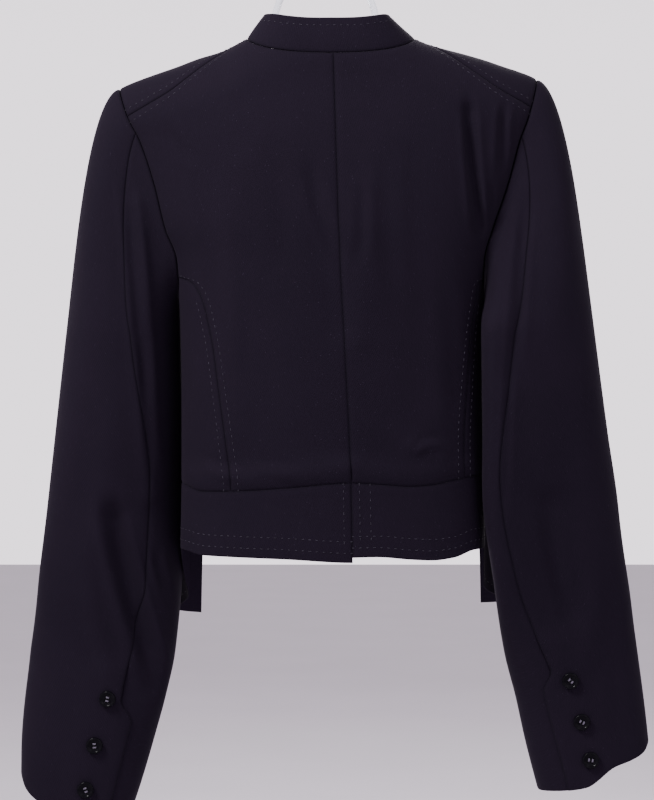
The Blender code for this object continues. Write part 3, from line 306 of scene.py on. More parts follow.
@dataclass(frozen=True)
class TorsoForm:
    """Outer form of the body of the jacket: its tables of sizes and the surfaces that they give."""

    rows: Table = (
        (-0.520, 0.1360, 0.1400, 0.0670, 0.130, 0.010, 0.026),
        (-0.441, 0.1360, 0.1392, 0.0670, 0.131, 0.010, 0.022),
        (-0.377, 0.1350, 0.1388, 0.0660, 0.130, 0.008, 0.011),
        (-0.300, 0.1350, 0.1376, 0.0670, 0.117, 0.005, 0.003),
        (-0.240, 0.1360, 0.1372, 0.0680, 0.101, 0.003, 0.000),
        (-0.209, 0.1378, 0.1380, 0.0680, 0.093, 0.002, 0.000),
        (-0.179, 0.1450, 0.1440, 0.0670, 0.086, 0.001, 0.000),
        (-0.152, 0.1585, 0.1545, 0.0660, 0.080, 0.000, 0.000),
        (-0.111, 0.1710, 0.1710, 0.0630, 0.071, 0.000, 0.000),
        (-0.074, 0.1850, 0.1825, 0.0590, 0.063, 0.000, 0.000),
        (-0.050, 0.1980, 0.1920, 0.0550, 0.056, 0.000, 0.000),
        (-0.015, 0.2090, 0.2020, 0.0470, 0.046, 0.000, 0.000), (0.025, 0.2140, 0.2080, 0.0400, 0.036, 0.000, 0.000),
    )
    lean_depth: float = 0.085
    flare_start: float = 0.030
    flare_spread: float = 0.032
    ridge_rows: Table = (
        (0.000, 0.0440, 0.0440), (0.030, 0.0410, 0.0410), (0.049, 0.0350, 0.0350), (0.062, 0.0295, 0.0295),
        (0.069, 0.0263, 0.0263), (0.076, 0.0226, 0.0226), (0.084, 0.0185, 0.0192), (0.097, 0.0118, 0.0150),
        (0.120, 0.0046, 0.0090), (0.139, -0.0026, 0.0035), (0.157, -0.0088, -0.0026), (0.170, -0.0134, -0.0068),
        (0.184, -0.0189, -0.0125), (0.192, -0.0230, -0.0190), (0.202, -0.0310, -0.0300), (0.220, -0.0480, -0.0500),
    )
    armhole_rows: Table = (
        (0, 60.0), (60, 60.0), (90, 60.5), (120, 62.5), (150, 73.0), (180, 90.0), (210, 107.0), (240, 120.0),
        (270, 126.0), (300, 126.0), (330, 122.0), (360, 120.0),
    )
    armhole_bottom: float = -0.213
    armhole_low_start: float = 110.0
    princess_limit: float = -0.187
    seam_rows: Table = (
        (-0.450, 0.0880, 0.1180, 0.0190), (-0.384, 0.0880, 0.1185, 0.0178), (-0.343, 0.0926, 0.1180, 0.0165),
        (-0.292, 0.0996, 0.1210, 0.0140), (-0.259, 0.1040, 0.1235, 0.0122), (-0.234, 0.1090, 0.1262, 0.0108),
        (-0.218, 0.1130, 0.1285, 0.0099), (-0.201, 0.1225, 0.1315, 0.0090), (-0.187, 0.1480, 0.1460, 0.0083),
        (0.010, 0.1480, 0.1460, 0.0020),
    )
    waist_rows: Table = (
        (-0.140, -0.3755, -0.4370, -0.4430), (-0.129, -0.3800, -0.4380, -0.4430),
        (-0.114, -0.3850, -0.4412, -0.4430), (-0.088, -0.3845, -0.4420, -0.4430),
        (-0.040, -0.3815, -0.4435, -0.4430), (0.018, -0.3770, -0.4465, -0.4420), (0.040, -0.3780, -0.4465, -0.4415),
        (0.071, -0.3800, -0.4465, -0.4440), (0.090, -0.3785, -0.4465, -0.4450), (0.109, -0.3745, -0.4465, -0.4430),
        (0.128, -0.3715, -0.4465, -0.4370), (0.140, -0.3715, -0.4465, -0.4365),
    )
    neck_rows: Table = (
        (0, 0.0000, 0.0040), (20, 0.0260, 0.0050), (40, 0.0490, 0.0080), (60, 0.0660, 0.0135), (75, 0.0735, 0.0185),
        (90, 0.0760, 0.0226), (105, 0.0734, 0.0120), (120, 0.0658, -0.0050), (138, 0.0509, -0.0350),
    )
    neck_half_width: float = 0.0760
    neck_shoulder: float = 90.0
    neck_front_height: float = -0.0350
    front_edge_rows: Table = (
        (-0.520, 0.1085), (-0.441, 0.1105), (-0.377, 0.1130), (-0.300, 0.1075), (-0.220, 0.0940), (-0.150, 0.0760),
        (-0.080, 0.0580), (-0.035, 0.0509),
    )
    front_hem_rows: Table = (
        (0.00, 1.00), (0.20, 0.96), (0.40, 0.90), (0.60, 0.74), (0.80, 0.42), (1.00, 0.00),
    )
    shoulder_rows: Table = (
        (0.070, 0.0000), (0.076, 0.0002), (0.095, 0.0170), (0.125, 0.0420), (0.152, 0.055), (0.183, 0.061),
        (0.200, 0.062),
    )
    large_folds: Table = (
        (0.121, -0.050, 0.131, -0.150, 0.0080, -0.0040), (-0.078, -0.100, -0.086, -0.330, 0.0160, 0.0016),
        (-0.020, -0.110, 0.006, -0.240, 0.0120, -0.0014), (0.030, -0.120, 0.026, -0.250, 0.0120, 0.0014),
        (0.074, -0.090, 0.078, -0.300, 0.0180, -0.0014), (0.072, -0.345, 0.098, -0.352, 0.0080, 0.0018),
    )
    back_creases: tuple[Fold, ...] = (
        Fold(0.122, -0.038, 0.133, -0.160, 0.0042, -0.0034, 0.002, 0.7),
        Fold(0.154, -0.040, 0.152, -0.100, 0.0036, -0.0024, 0.001, 0.5),
        Fold(0.141, -0.112, 0.144, -0.140, 0.0030, -0.0014, 0.0, 0.5),
        Fold(-0.018, -0.100, 0.008, -0.182, 0.0055, -0.0017, 0.003),
        Fold(0.026, -0.112, 0.025, -0.184, 0.0050, -0.0015, -0.002),
        Fold(0.050, -0.080, 0.058, -0.235, 0.0075, -0.0009, 0.004),
        Fold(-0.050, -0.060, -0.044, -0.200, 0.0090, -0.0008, -0.004),
        Fold(-0.098, -0.120, -0.088, -0.290, 0.0075, 0.0009, -0.005),
        Fold(-0.112, -0.205, -0.100, -0.345, 0.0060, -0.0009, 0.004),
        Fold(0.100, -0.190, 0.108, -0.340, 0.0070, -0.0008, -0.003),
        Fold(0.074, -0.350, 0.101, -0.345, 0.0035, 0.0013, -0.004, 0.6),
        Fold(-0.020, -0.352, 0.030, -0.360, 0.0060, 0.0007, 0.003),
        Fold(-0.118, -0.362, -0.078, -0.370, 0.0050, 0.0012, 0.002, 0.6),
        Fold(-0.066, -0.366, -0.030, -0.371, 0.0045, 0.0008, -0.002, 0.6),
        Fold(-0.150, -0.060, -0.116, -0.095, 0.0060, -0.0008, 0.003),
        Fold(-0.130, -0.110, -0.112, -0.170, 0.0055, 0.0007, 0.002),
        Fold(0.020, -0.290, 0.060, -0.330, 0.0080, -0.0006, 0.005),
    )
    front_creases: tuple[Fold, ...] = (
        Fold(-0.120, -0.060, -0.096, -0.200, 0.0100, -0.0016, 0.004),
        Fold(0.124, -0.055, 0.102, -0.190, 0.0090, -0.0017, -0.004),
        Fold(-0.140, -0.110, -0.112, -0.160, 0.0060, -0.0013, 0.004),
        Fold(0.138, -0.105, 0.116, -0.170, 0.0060, -0.0012, -0.003),
        Fold(-0.090, -0.200, -0.118, -0.420, 0.0140, 0.0018, 0.006),
        Fold(0.092, -0.180, 0.112, -0.400, 0.0150, 0.0016, -0.005),
        Fold(-0.125, -0.300, -0.128, -0.470, 0.0110, -0.0014, 0.003),
        Fold(0.128, -0.280, 0.124, -0.450, 0.0100, -0.0015, -0.004),
        Fold(-0.080, -0.020, -0.072, -0.110, 0.0070, -0.0010, -0.002),
        Fold(0.082, -0.018, 0.070, -0.120, 0.0080, -0.0011, 0.003),
        Fold(-0.135, -0.395, -0.112, -0.412, 0.0060, 0.0012, 0.002),
        Fold(0.132, -0.388, 0.110, -0.404, 0.0060, 0.0010, -0.002),
    )
    blouse: tuple[float, float] = (0.0030, 0.0018)
    blouse_height: float = 0.011
    blouse_spread: float = 0.009
    first_height: float = -0.1
    tables: dict[str, dict[str, Curve]] = field(default_factory=dict)

    def __post_init__(self) -> None:
        """Turn each table into curves."""
        self.tables.update(
            torso=curves("height left right back front lean flare", self.rows),
            ridge=curves("distance left right", self.ridge_rows),
            armhole=curves("around turn", self.armhole_rows),
            seams=curves("height princess_left princess_right centre", self.seam_rows),
            waist=curves("across seam left right", self.waist_rows),
            neck=curves("around across height", self.neck_rows),
            edge=curves("height across", self.front_edge_rows),
            hem=curves("part dip", self.front_hem_rows),
            shoulder=curves("distance path", self.shoulder_rows),
            neck_back=curves("across height", [row[1:] for row in self.neck_rows if row[0] <= self.neck_shoulder]),
            neck_front=curves(
                "height across", [row[:0:-1] for row in self.neck_rows[::-1] if row[0] >= self.neck_shoulder]
            ),
        )

    def half_width(self, side: Side, height: Array) -> Array:
        """Half width of the body at a height."""
        return self.tables["torso"][side.word](height)

    def across_at(self, side: Side, turn: Array, height: Array) -> Array:
        """Signed distance from the centre at a turn and a height."""
        return side.value * self.half_width(side, height) * section(turn, SECTION_POWER)[0]

    def ridge(self, side: Side, across: Array) -> Array:
        """Height of the shoulder ridge at a signed distance from the centre."""
        return self.tables["ridge"][side.word](np.abs(across))

    def waist_seam(self, across: Array) -> Array:
        """Height of the waistband's upper seam at a signed distance from the centre."""
        return self.tables["waist"]["seam"](across)

    @staticmethod
    def fall_of_path(path: Array) -> Array:
        """Drop below the ridge after a distance over the rounded shoulder and down.

        Args:
            path: The distance, of either sign.

        Returns:
            The drop.
        """
        length = np.abs(path)
        angle = np.minimum(length / RIDGE_RADIUS, math.pi / 2)
        return RIDGE_RADIUS * (1 - np.cos(angle)) + np.maximum(0, length - QUARTER_ARC)

    @staticmethod
    def path_of_fall(fall: Array) -> Array:
        """Distance over the rounded shoulder and down for a drop below the ridge."""
        near = RIDGE_RADIUS * np.arccos(np.clip(1 - fall / RIDGE_RADIUS, 0, 1))
        return near + np.maximum(0, fall - RIDGE_RADIUS)

    def blouse_at(self, side: Side, across: Array, height: Array) -> Array:
        """Swell of the cloth where it blouses over the waistband.

        Args:
            side: Left or right.
            across: Signed distance from the centre.
            height: Height from the nape datum.

        Returns:
            How far the cloth stands out.
        """
        above = height - self.waist_seam(across)
        swell = np.exp(-(((np.maximum(above, 0) - self.blouse_height) / self.blouse_spread) ** 2))
        tuck = 2 * self.blouse_height / self.blouse_spread**2
        return side.pick(self.blouse) * swell * np.exp(np.minimum(above, 0) * tuck)

    def point(self, side: Side, turn: Array, height: Array, facing: Array) -> Array:
        """Points of the cloth's outer face.

        Args:
            side: Left or right.
            turn: Angle round the body from centre back, in degrees.
            height: Height from the nape datum.
            facing: -1 behind the shoulder ridge and 1 before it.

        Returns:
            Points in garment sizes, the last axis being x, y and z.
        """
        torso = self.tables["torso"]
        across = self.across_at(side, turn, height)
        fall = np.maximum(0, self.ridge(side, across) - height)
        rounding = np.sin(np.minimum(self.path_of_fall(fall) / RIDGE_RADIUS, math.pi / 2))
        flatness = np.abs(section(turn, SECTION_POWER)[1])
        depth = np.where(facing < 0, torso["back"](height), torso["front"](height)) * flatness * rounding
        behind = large_relief(self.large_folds, across, height) + self.blouse_at(side, across, height)
        behind = behind + small_relief(self.back_creases, across, height)
        before = small_relief(self.front_creases, across, height)
        depth = depth + np.where(facing < 0, behind, before) * smooth(flatness * 2) * rounding
        drift = torso["lean"](height) * smooth(depth / self.lean_depth)
        flare = torso["flare"](height) * smooth((depth - self.flare_start) / self.flare_spread)
        return joined(across + (drift + side.value * flare) * (facing > 0), facing * depth, height)

    def armhole_tip(self, side: Side) -> float:
        """Height at which the armhole crosses the shoulder ridge.

        Args:
            side: Left or right.

        Returns:
            The height.
        """
        height = self.first_height
        tip = section(self.tables["armhole"]["turn"](0), SECTION_POWER)[0]
        for _ in range(SETTLE_STEPS):
            height = float(self.ridge(side, self.half_width(side, height) * tip))
        return height

    def armhole_height(self, side: Side, around: Array) -> Array:
        """Height of the armhole at an angle round its ring."""
        top = self.armhole_tip(side)
        return top - (top - self.armhole_bottom) * (1 - np.cos(np.radians(around))) / 2

    def armhole_turn(self, side: Side, height: Array, facing: int) -> Array:
        """Turn of the armhole's edge.

        Args:
            side: Left or right.
            height: Height from the nape datum.
            facing: -1 for the back half of the armhole and 1 for the front half.

        Returns:
            The turn in degrees.
        """
        top = self.armhole_tip(side)
        down = np.clip((top - height) / (top - self.armhole_bottom), 0, 1)
        around = np.degrees(np.arccos(1 - 2 * down))
        return self.tables["armhole"]["turn"](around if facing < 0 else 360 - around)

    def armhole_point(self, side: Side, around: Array) -> Array:
        """Point of the armhole's ring."""
        turn = self.tables["armhole"]["turn"](around)
        return self.point(side, turn, self.armhole_height(side, around), np.where(around < 180, -1, 1))

    def princess_turn(self, side: Side, height: Array) -> Array:
        """Turn of the princess seam, which runs up into the armhole."""
        column = self.tables["seams"]["princess_" + side.word]
        return turn_of(np.minimum(column(height) / self.half_width(side, height), 1))

    def princess_top(self, side: Side) -> float:
        """Height at which the princess seam meets the armhole.

        Args:
            side: Left or right.

        Returns:
            The height.
        """
        low, high = self.armhole_bottom, self.princess_limit
        for _ in range(HALVING_STEPS):
            middle = (low + high) / 2
            if self.princess_turn(side, middle) < self.armhole_turn(side, middle, -1):
                low = middle
            else:
                high = middle
        return (low + high) / 2

    def centre_turn(self, side: Side, height: Array) -> Array:
        """Turn of the centre back seam, a little past the middle on the left panel."""
        return turn_of(side.value * self.tables["seams"]["centre"](height) / self.half_width(side, height))

    def path_to(self, side: Side, across: Array, height: Array) -> Array:
        """Distance from the ridge down to a height."""
        return self.path_of_fall(self.ridge(side, across) - height)

    def level_edge(self, side: Side, facing: int, height_of: Callable, trim: float = 0.0) -> Callable:
        """Level edge at the height that a function of part and distance across gives, as a signed path."""
        return lambda part, across: facing * self.path_to(side, across, height_of(part, across) + trim)

    def shoulder_edge(self, side: Side, trim: float, part: Array, across: Array) -> Array:
        """Top edge of a panel: the neckline, then the shoulder seam set back behind the ridge.

        Args:
            side: Left or right.
            trim: How far the panel stops short of the seam.
            part: Part of the way across the panel, which makes no difference here.
            across: Signed distance from the centre.

        Returns:
            Signed path from the ridge.
        """
        distance = np.abs(across)
        seam = -self.tables["shoulder"]["path"](distance)
        neck = -self.path_to(side, across, self.tables["neck_back"]["height"](distance))
        return np.where(distance < self.neck_half_width, neck, seam) - trim


@dataclass(frozen=True)
class RuledPanel:
    """Surface between two side edges, given as turns, and two level edges, given as signed paths from the ridge.

    Each side edge is a function of height and facing. Each level edge is one of the part of the way across the
    panel and of the distance from the centre.
    """

    form: TorsoForm
    side: Side
    inner: Callable
    outer: Callable
    bottom: Callable
    top: Callable

    def turn(self, part: Array, height: Array, facing: Array) -> Array:
        """Turn part of the way from the inner edge to the outer one."""
        return mix(self.inner(height, facing), self.outer(height, facing), part)

    def height(self, turn: Array, height: Array, path: Array) -> Array:
        """Height at which a path ends, judged from a height near it."""
        return self.form.ridge(self.side, self.form.across_at(self.side, turn, height)) - self.form.fall_of_path(path)

    def follow(self, part: Array, path_at: Callable, height: Array, facing: Array) -> tuple[Array, ...]:
        """One step nearer to where a path ends.

        Args:
            part: Part of the way across the panel.
            path_at: Signed path at a part and a distance across.
            height: Height so far.
            facing: Facing so far.

        Returns:
            The next height, and its turn, path and facing.
        """
        path = path_at(part, self.form.across_at(self.side, self.turn(part, height, facing), height))
        facing = np.where(path < 0, -1, 1)
        turn = self.turn(part, height, facing)
        return self.height(turn, height, path), turn, path, facing

    def settle(self, part: Array, path_at: Callable) -> tuple[Array, ...]:
        """Where a path ends, by steps that leap ahead along the trend of the last two.

        Args:
            part: Part of the way across the panel.
            path_at: Signed path at a part and a distance across.

        Returns:
            Turn, height, path and facing.
        """
        height = np.full(part.shape, self.form.first_height)
        facing = np.full(part.shape, -1)
        for _ in range(SETTLE_STEPS):
            once, _, _, facing = self.follow(part, path_at, height, facing)
            twice, turn, path, facing = self.follow(part, path_at, once, facing)
            bend = twice - 2 * once + height
            leap = np.where(np.abs(bend) > 1e-9, -((twice - once) ** 2) / np.where(bend == 0, 1, bend), 0)
            height = twice + np.clip(leap, -LEAP_LIMIT, LEAP_LIMIT)
        return turn, height, path, facing

    def __call__(self, part: Array, rise: Array) -> Array:
        """Points of the panel.

        Args:
            part: Part of the way from the inner edge to the outer one.
            rise: Part of the way up.

        Returns:
            The points.
        """
        path = mix(self.settle(part, self.bottom)[2], self.settle(part, self.top)[2], rise)
        turn, height, _, facing = self.settle(part, lambda *_: path)
        for _ in range(LEVEL_STEPS):
            height = self.height(turn, height, path)
        return self.form.point(self.side, turn, height, facing)


@dataclass(frozen=True)
class SleeveForm:
    """Outer form of the two sleeves: tables of sizes and the surface that they give."""

    torso: TorsoForm
    left_rows: Table = (
        (-0.675, 0.2335, 0.0990, 0.060, 0.018), (-0.640, 0.2272, 0.1102, 0.058, 0.017),
        (-0.603, 0.2202, 0.1190, 0.057, 0.016), (-0.566, 0.2130, 0.1260, 0.057, 0.015),
        (-0.530, 0.2072, 0.1306, 0.058, 0.014), (-0.476, 0.2017, 0.1304, 0.062, 0.012),
        (-0.403, 0.1972, 0.1226, 0.072, 0.012), (-0.331, 0.1932, 0.1146, 0.084, 0.012),
        (-0.245, 0.1890, 0.1040, 0.092, 0.012),
    )
    right_rows: Table = (
        (-0.647, 0.2382, 0.1005, 0.060, 0.006), (-0.603, 0.2300, 0.1075, 0.058, 0.005),
        (-0.566, 0.2236, 0.1120, 0.058, 0.004), (-0.530, 0.2165, 0.1180, 0.060, 0.002),
        (-0.476, 0.2083, 0.1227, 0.064, -0.001), (-0.403, 0.1977, 0.1241, 0.074, -0.005),
        (-0.331, 0.1917, 0.1144, 0.084, -0.009), (-0.245, 0.1852, 0.1038, 0.092, -0.012),
    )
    level: float = -0.245
    cap_top: float = -0.020
    cap_way_top: float = -0.22
    cap_way_underarm: float = 0.25
    cap_reach_top: float = 0.086
    cap_reach_underarm: float = 0.003
    cap_setback: tuple[float, float] = (0.35, -0.05)
    clearance: float = 0.0004
    swing: tuple[float, float] = (0.010, -0.030)
    swing_end: float = -0.550
    swing_blend: float = 0.110
    cuff_dip: float = 0.010
    cuff_blend: float = 0.220
    cuff_rows: Table = (
        (0.00, 0.000, 0.000), (0.40, 0.004, 0.006), (0.65, 0.011, 0.024), (0.82, 0.019, 0.030),
        (0.94, 0.029, 0.036), (1.00, 0.041, 0.044),
    )
    seam_rows: Table = (
        (-0.680, 111.0, 103.0), (-0.560, 112.0, 109.0), (-0.460, 120.0, 131.0), (-0.375, 123.0, 136.0),
        (-0.270, 105.0, 121.0), (-0.155, 86.0, 99.0), (-0.090, 70.0, 80.0), (-0.020, 58.0, 64.0),
    )
    front_seam: float = 245.0
    vent_length: float = 0.105
    vent_fade: float = 0.020
    vent_lap: float = 14.0
    vent_lift: float = 0.0021
    lift_start: float = 42.0
    lift_fade: float = 26.0
    large_folds: Table = (
        (-0.192, -0.410, -0.158, -0.560, 0.0130, -0.0072), (-0.170, -0.130, -0.160, -0.390, 0.0105, 0.0036),
        (0.176, -0.130, 0.160, -0.280, 0.0120, -0.0022), (0.196, -0.400, 0.212, -0.490, 0.0160, -0.0030),
    )
    back_creases: tuple[Fold, ...] = (
        Fold(-0.198, -0.396, -0.158, -0.552, 0.0068, -0.0046, 0.004, 0.8),
        Fold(-0.158, -0.440, -0.147, -0.480, 0.0035, -0.0016, 0.001, 0.6),
        Fold(-0.182, -0.105, -0.166, -0.310, 0.0048, -0.0022, -0.002, 0.8),
        Fold(-0.166, -0.250, -0.160, -0.370, 0.0038, -0.0014, 0.001, 0.8),
        Fold(-0.236, -0.120, -0.230, -0.260, 0.0100, -0.0010, 0.004),
        Fold(-0.215, -0.300, -0.232, -0.440, 0.0110, -0.0011, -0.005),
        Fold(-0.250, -0.420, -0.226, -0.560, 0.0100, -0.0010, 0.004),
        Fold(-0.222, -0.440, -0.186, -0.600, 0.0080, 0.0020, 0.003),
        Fold(0.174, -0.125, 0.161, -0.275, 0.0045, -0.0017, 0.001, 0.8),
        Fold(0.157, -0.270, 0.153, -0.400, 0.0032, -0.0012, 0.000, 0.8),
        Fold(0.222, -0.110, 0.214, -0.260, 0.0110, -0.0011, -0.004),
        Fold(0.205, -0.290, 0.226, -0.430, 0.0120, -0.0011, 0.004),
        Fold(0.190, -0.395, 0.215, -0.500, 0.0060, -0.0013, 0.004, 0.6),
        Fold(0.236, -0.440, 0.224, -0.560, 0.0080, 0.0010, -0.003),
        Fold(0.252, -0.480, 0.262, -0.600, 0.0070, -0.0009, 0.003),
    )
    front_creases: tuple[Fold, ...] = (
        Fold(-0.176, -0.320, -0.236, -0.345, 0.0070, -0.0018, 0.004, 0.6),
        Fold(-0.164, -0.360, -0.232, -0.395, 0.0060, -0.0016, -0.003, 0.6),
        Fold(-0.200, -0.100, -0.206, -0.250, 0.0100, -0.0012, 0.003),
        Fold(-0.240, -0.430, -0.212, -0.560, 0.0100, -0.0014, 0.004),
        Fold(-0.190, -0.470, -0.200, -0.600, 0.0080, 0.0011, -0.003),
        Fold(0.166, -0.300, 0.232, -0.338, 0.0070, -0.0018, -0.004, 0.6),
        Fold(0.170, -0.352, 0.228, -0.378, 0.0060, -0.0015, 0.003, 0.6),
        Fold(0.202, -0.105, 0.210, -0.250, 0.0100, -0.0012, -0.003),
        Fold(0.236, -0.430, 0.216, -0.570, 0.0100, -0.0013, -0.004),
        Fold(0.196, -0.460, 0.212, -0.590, 0.0080, 0.0010, 0.003),
    )
    tables: dict[str, dict] = field(default_factory=dict)

    def __post_init__(self) -> None:
        """Turn each table into curves."""
        columns = "height centre width depth forward"
        self.tables["arm"] = {Side.LEFT: curves(columns, self.left_rows), Side.RIGHT: curves(columns, self.right_rows)}
        self.tables["seam"] = curves("height left right", self.seam_rows)
        self.tables["cuff"] = curves("share left right", self.cuff_rows)

    def cuff_height(self, side: Side) -> float:
        """Height of the middle of the cuff's ring."""
        return side.pick((self.left_rows, self.right_rows))[0][0]

    def ring(self, side: Side, around: Array, height: Array) -> Array:
        """Point on one ring of the sleeve.

        Args:
            side: Left or right.
            around: Angle round the sleeve, in degrees.
            height: Height of the ring's middle.

        Returns:
            The point.
        """
        column = self.tables["arm"][side]
        outward, behind = section(90 - around, SLEEVE_POWER)
        across = column["centre"](height) + outward * column["width"](height) / 2
        depth = column["forward"](height) - behind * column["depth"](height) / 2
        swing = side.pick(self.swing) * smooth((height - self.swing_end) / self.swing_blend)
        depth = depth + swing * ((1 - outward) / 2) ** 4
        shape = self.tables["cuff"][side.word]((1 + outward) / 2) - self.cuff_dip
        level = height + shape * smooth(1 - (height - self.cuff_height(side)) / self.cuff_blend)
        return joined(side.value * across, depth, level)

    def ring_height(self, side: Side, along: Array) -> Array:
        """Height of the middle of a ring: along is 0 at the armhole, 1 below it, 2 at the cuff."""
        cap = mix(self.cap_top, self.level, np.clip(along, 0, 1))
        return np.where(along < 1, cap, mix(self.level, self.cuff_height(side), along - 1))

    def along_of(self, side: Side, height: float) -> float:
        """Place along the sleeve of a ring at a height below the armhole."""
        return 1 + (self.level - height) / (self.level - self.cuff_height(side))

    def shape(self, side: Side, around: Array, along: Array) -> Array:
        """Sleeve without its folds: a cap that springs from the armhole, then level rings.

        Args:
            side: Left or right.
            around: Angle round the sleeve, in degrees.
            along: Place along it, from 0 to 2.

        Returns:
            The points.
        """
        height = mix(self.level, self.cuff_height(side), np.maximum(along - 1, 0))
        arm = self.ring(side, around, height)
        finish_way = unit(self.ring(side, around, height - 0.001) - arm)
        spread = (1 + np.cos(np.radians(around))) / 2
        rising = mix(self.cap_way_underarm, self.cap_way_top, spread)
        setback = side.pick(self.cap_setback) * np.sin(np.radians(around))
        start_way = unit(joined(side.value * 1.0, setback, rising))
        start = self.torso.armhole_point(side, np.mod(around, 360)) + start_way * self.clearance
        reach = mix(self.cap_reach_underarm, self.cap_reach_top, spread)[..., None]
        span = np.linalg.norm(arm - start, axis=-1)[..., None]
        part = np.clip(along, 0, 1)[..., None]
        rest = 1 - part
        cap = (1 + 2 * part) * rest**2 * start + part**2 * (3 - 2 * part) * arm
        cap = cap + part * rest**2 * start_way * reach - part**2 * rest * finish_way * span
        return np.where(part < 1, cap, arm)

    def point(self, side: Side, around: Array, along: Array, lift: Array | float = 0.0) -> Array:
        """Point of the cloth's outer face, with its folds.

        Args:
            side: Left or right.
            around: Angle round the sleeve, in degrees.
            along: Place along it, from 0 to 2.
            lift: How far the cloth is raised off the sleeve.

        Returns:
            The point.
        """
        points = self.shape(side, around, along)
        fade = smooth(along * 2)
        behind, before = (np.clip(sign * np.sin(np.radians(around)), 0, 1) for sign in (1, -1))
        large = large_relief(self.large_folds, points[..., 0], points[..., 2]) * behind * fade
        small = small_relief(self.back_creases, points[..., 0], points[..., 2]) * smooth(behind * 1.6)
        small = small + small_relief(self.front_creases, points[..., 0], points[..., 2]) * smooth(before * 1.6)
        outward, back = section(90 - around, SLEEVE_POWER)
        normal = unit(joined(side.value * outward, -back, 0.0))
        points = points + normal * (np.asarray(lift) + small * fade)[..., None]
        points[..., 1] -= large
        return points

    def vent_part(self, side: Side, along: Array, length: float) -> Array:
        """1 down by the cuff, easing to 0 at this length above it."""
        return smooth((self.cuff_height(side) + length - self.ring_height(side, along)) / self.vent_fade)

    def back_seam(self, side: Side, along: Array) -> Array:
        """Angle of the back seam."""
        return self.tables["seam"][side.word](self.ring_height(side, along))

    def lap_lift(self, side: Side, around: Array, along: Array) -> Array:
        """Lift of the upper sleeve where it laps over the under sleeve at the vent.

        Args:
            side: Left or right.
            around: Angle round the sleeve, in degrees.
            along: Place along it, from 0 to 2.

        Returns:
            The lift.
        """
        lifted = self.vent_part(side, along, self.vent_length + 2 * self.vent_fade)
        start = around - self.back_seam(side, along) + self.lift_start
        return self.vent_lift * smooth(start / self.lift_fade) * lifted

    def upper(self, side: Side, part: Array, along: Array) -> Array:
        """Surface of the upper sleeve, lapped past the back seam at the vent.

        Args:
            side: Left or right.
            part: Part of the way from the front seam over the arm to the back seam.
            along: Place along the sleeve, from 0 to 2.

        Returns:
            The points.
        """
        last = self.back_seam(side, along) + self.vent_lap * self.vent_part(side, along, self.vent_length)
        around = mix(self.front_seam - 360, last, part)
        return self.point(side, around, along, self.lap_lift(side, around, along))

    def under(self, side: Side, part: Array, along: Array) -> Array:
        """Surface of the under sleeve, from the back seam to the front seam."""
        return self.point(side, mix(self.back_seam(side, along), self.front_seam, part), along)

    def away(self, side: Side, points: Array) -> Array:
        """Way from the sleeve's axis to each point.

        Args:
            side: Left or right.
            points: The points.

        Returns:
            The ways.
        """
        height = np.minimum(points[..., 2], self.level)
        column = self.tables["arm"][side]
        return points - joined(side.value * column["centre"](height), column["forward"](height), points[..., 2])


def dressed(
    name: str, mesh: Mesh, finish: Material, node: str | None = None, crease: float | None = None
) -> Object:
    """Finished object from a mesh, riding on the one body.

    Args:
        name: Name of the piece.
        mesh: Its mesh.
        finish: Its material.
        node: Node that it stands for, if it does.
        crease: Angle in degrees past which an edge stays sharp, if any does.

    Returns:
        The piece.
    """
    mesh.materials.clear()
    mesh.materials.append(finish)
    mesh.shade_smooth()
    if crease:
        mesh.set_sharp_from_angle(angle=math.radians(crease))
    piece = bpy.data.objects.new(name, mesh)
    bpy.context.collection.objects.link(piece)
    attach(piece, "root")
    if node:
        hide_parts(node)
    log.info("%s: %d faces", name, len(mesh.polygons))
    return piece


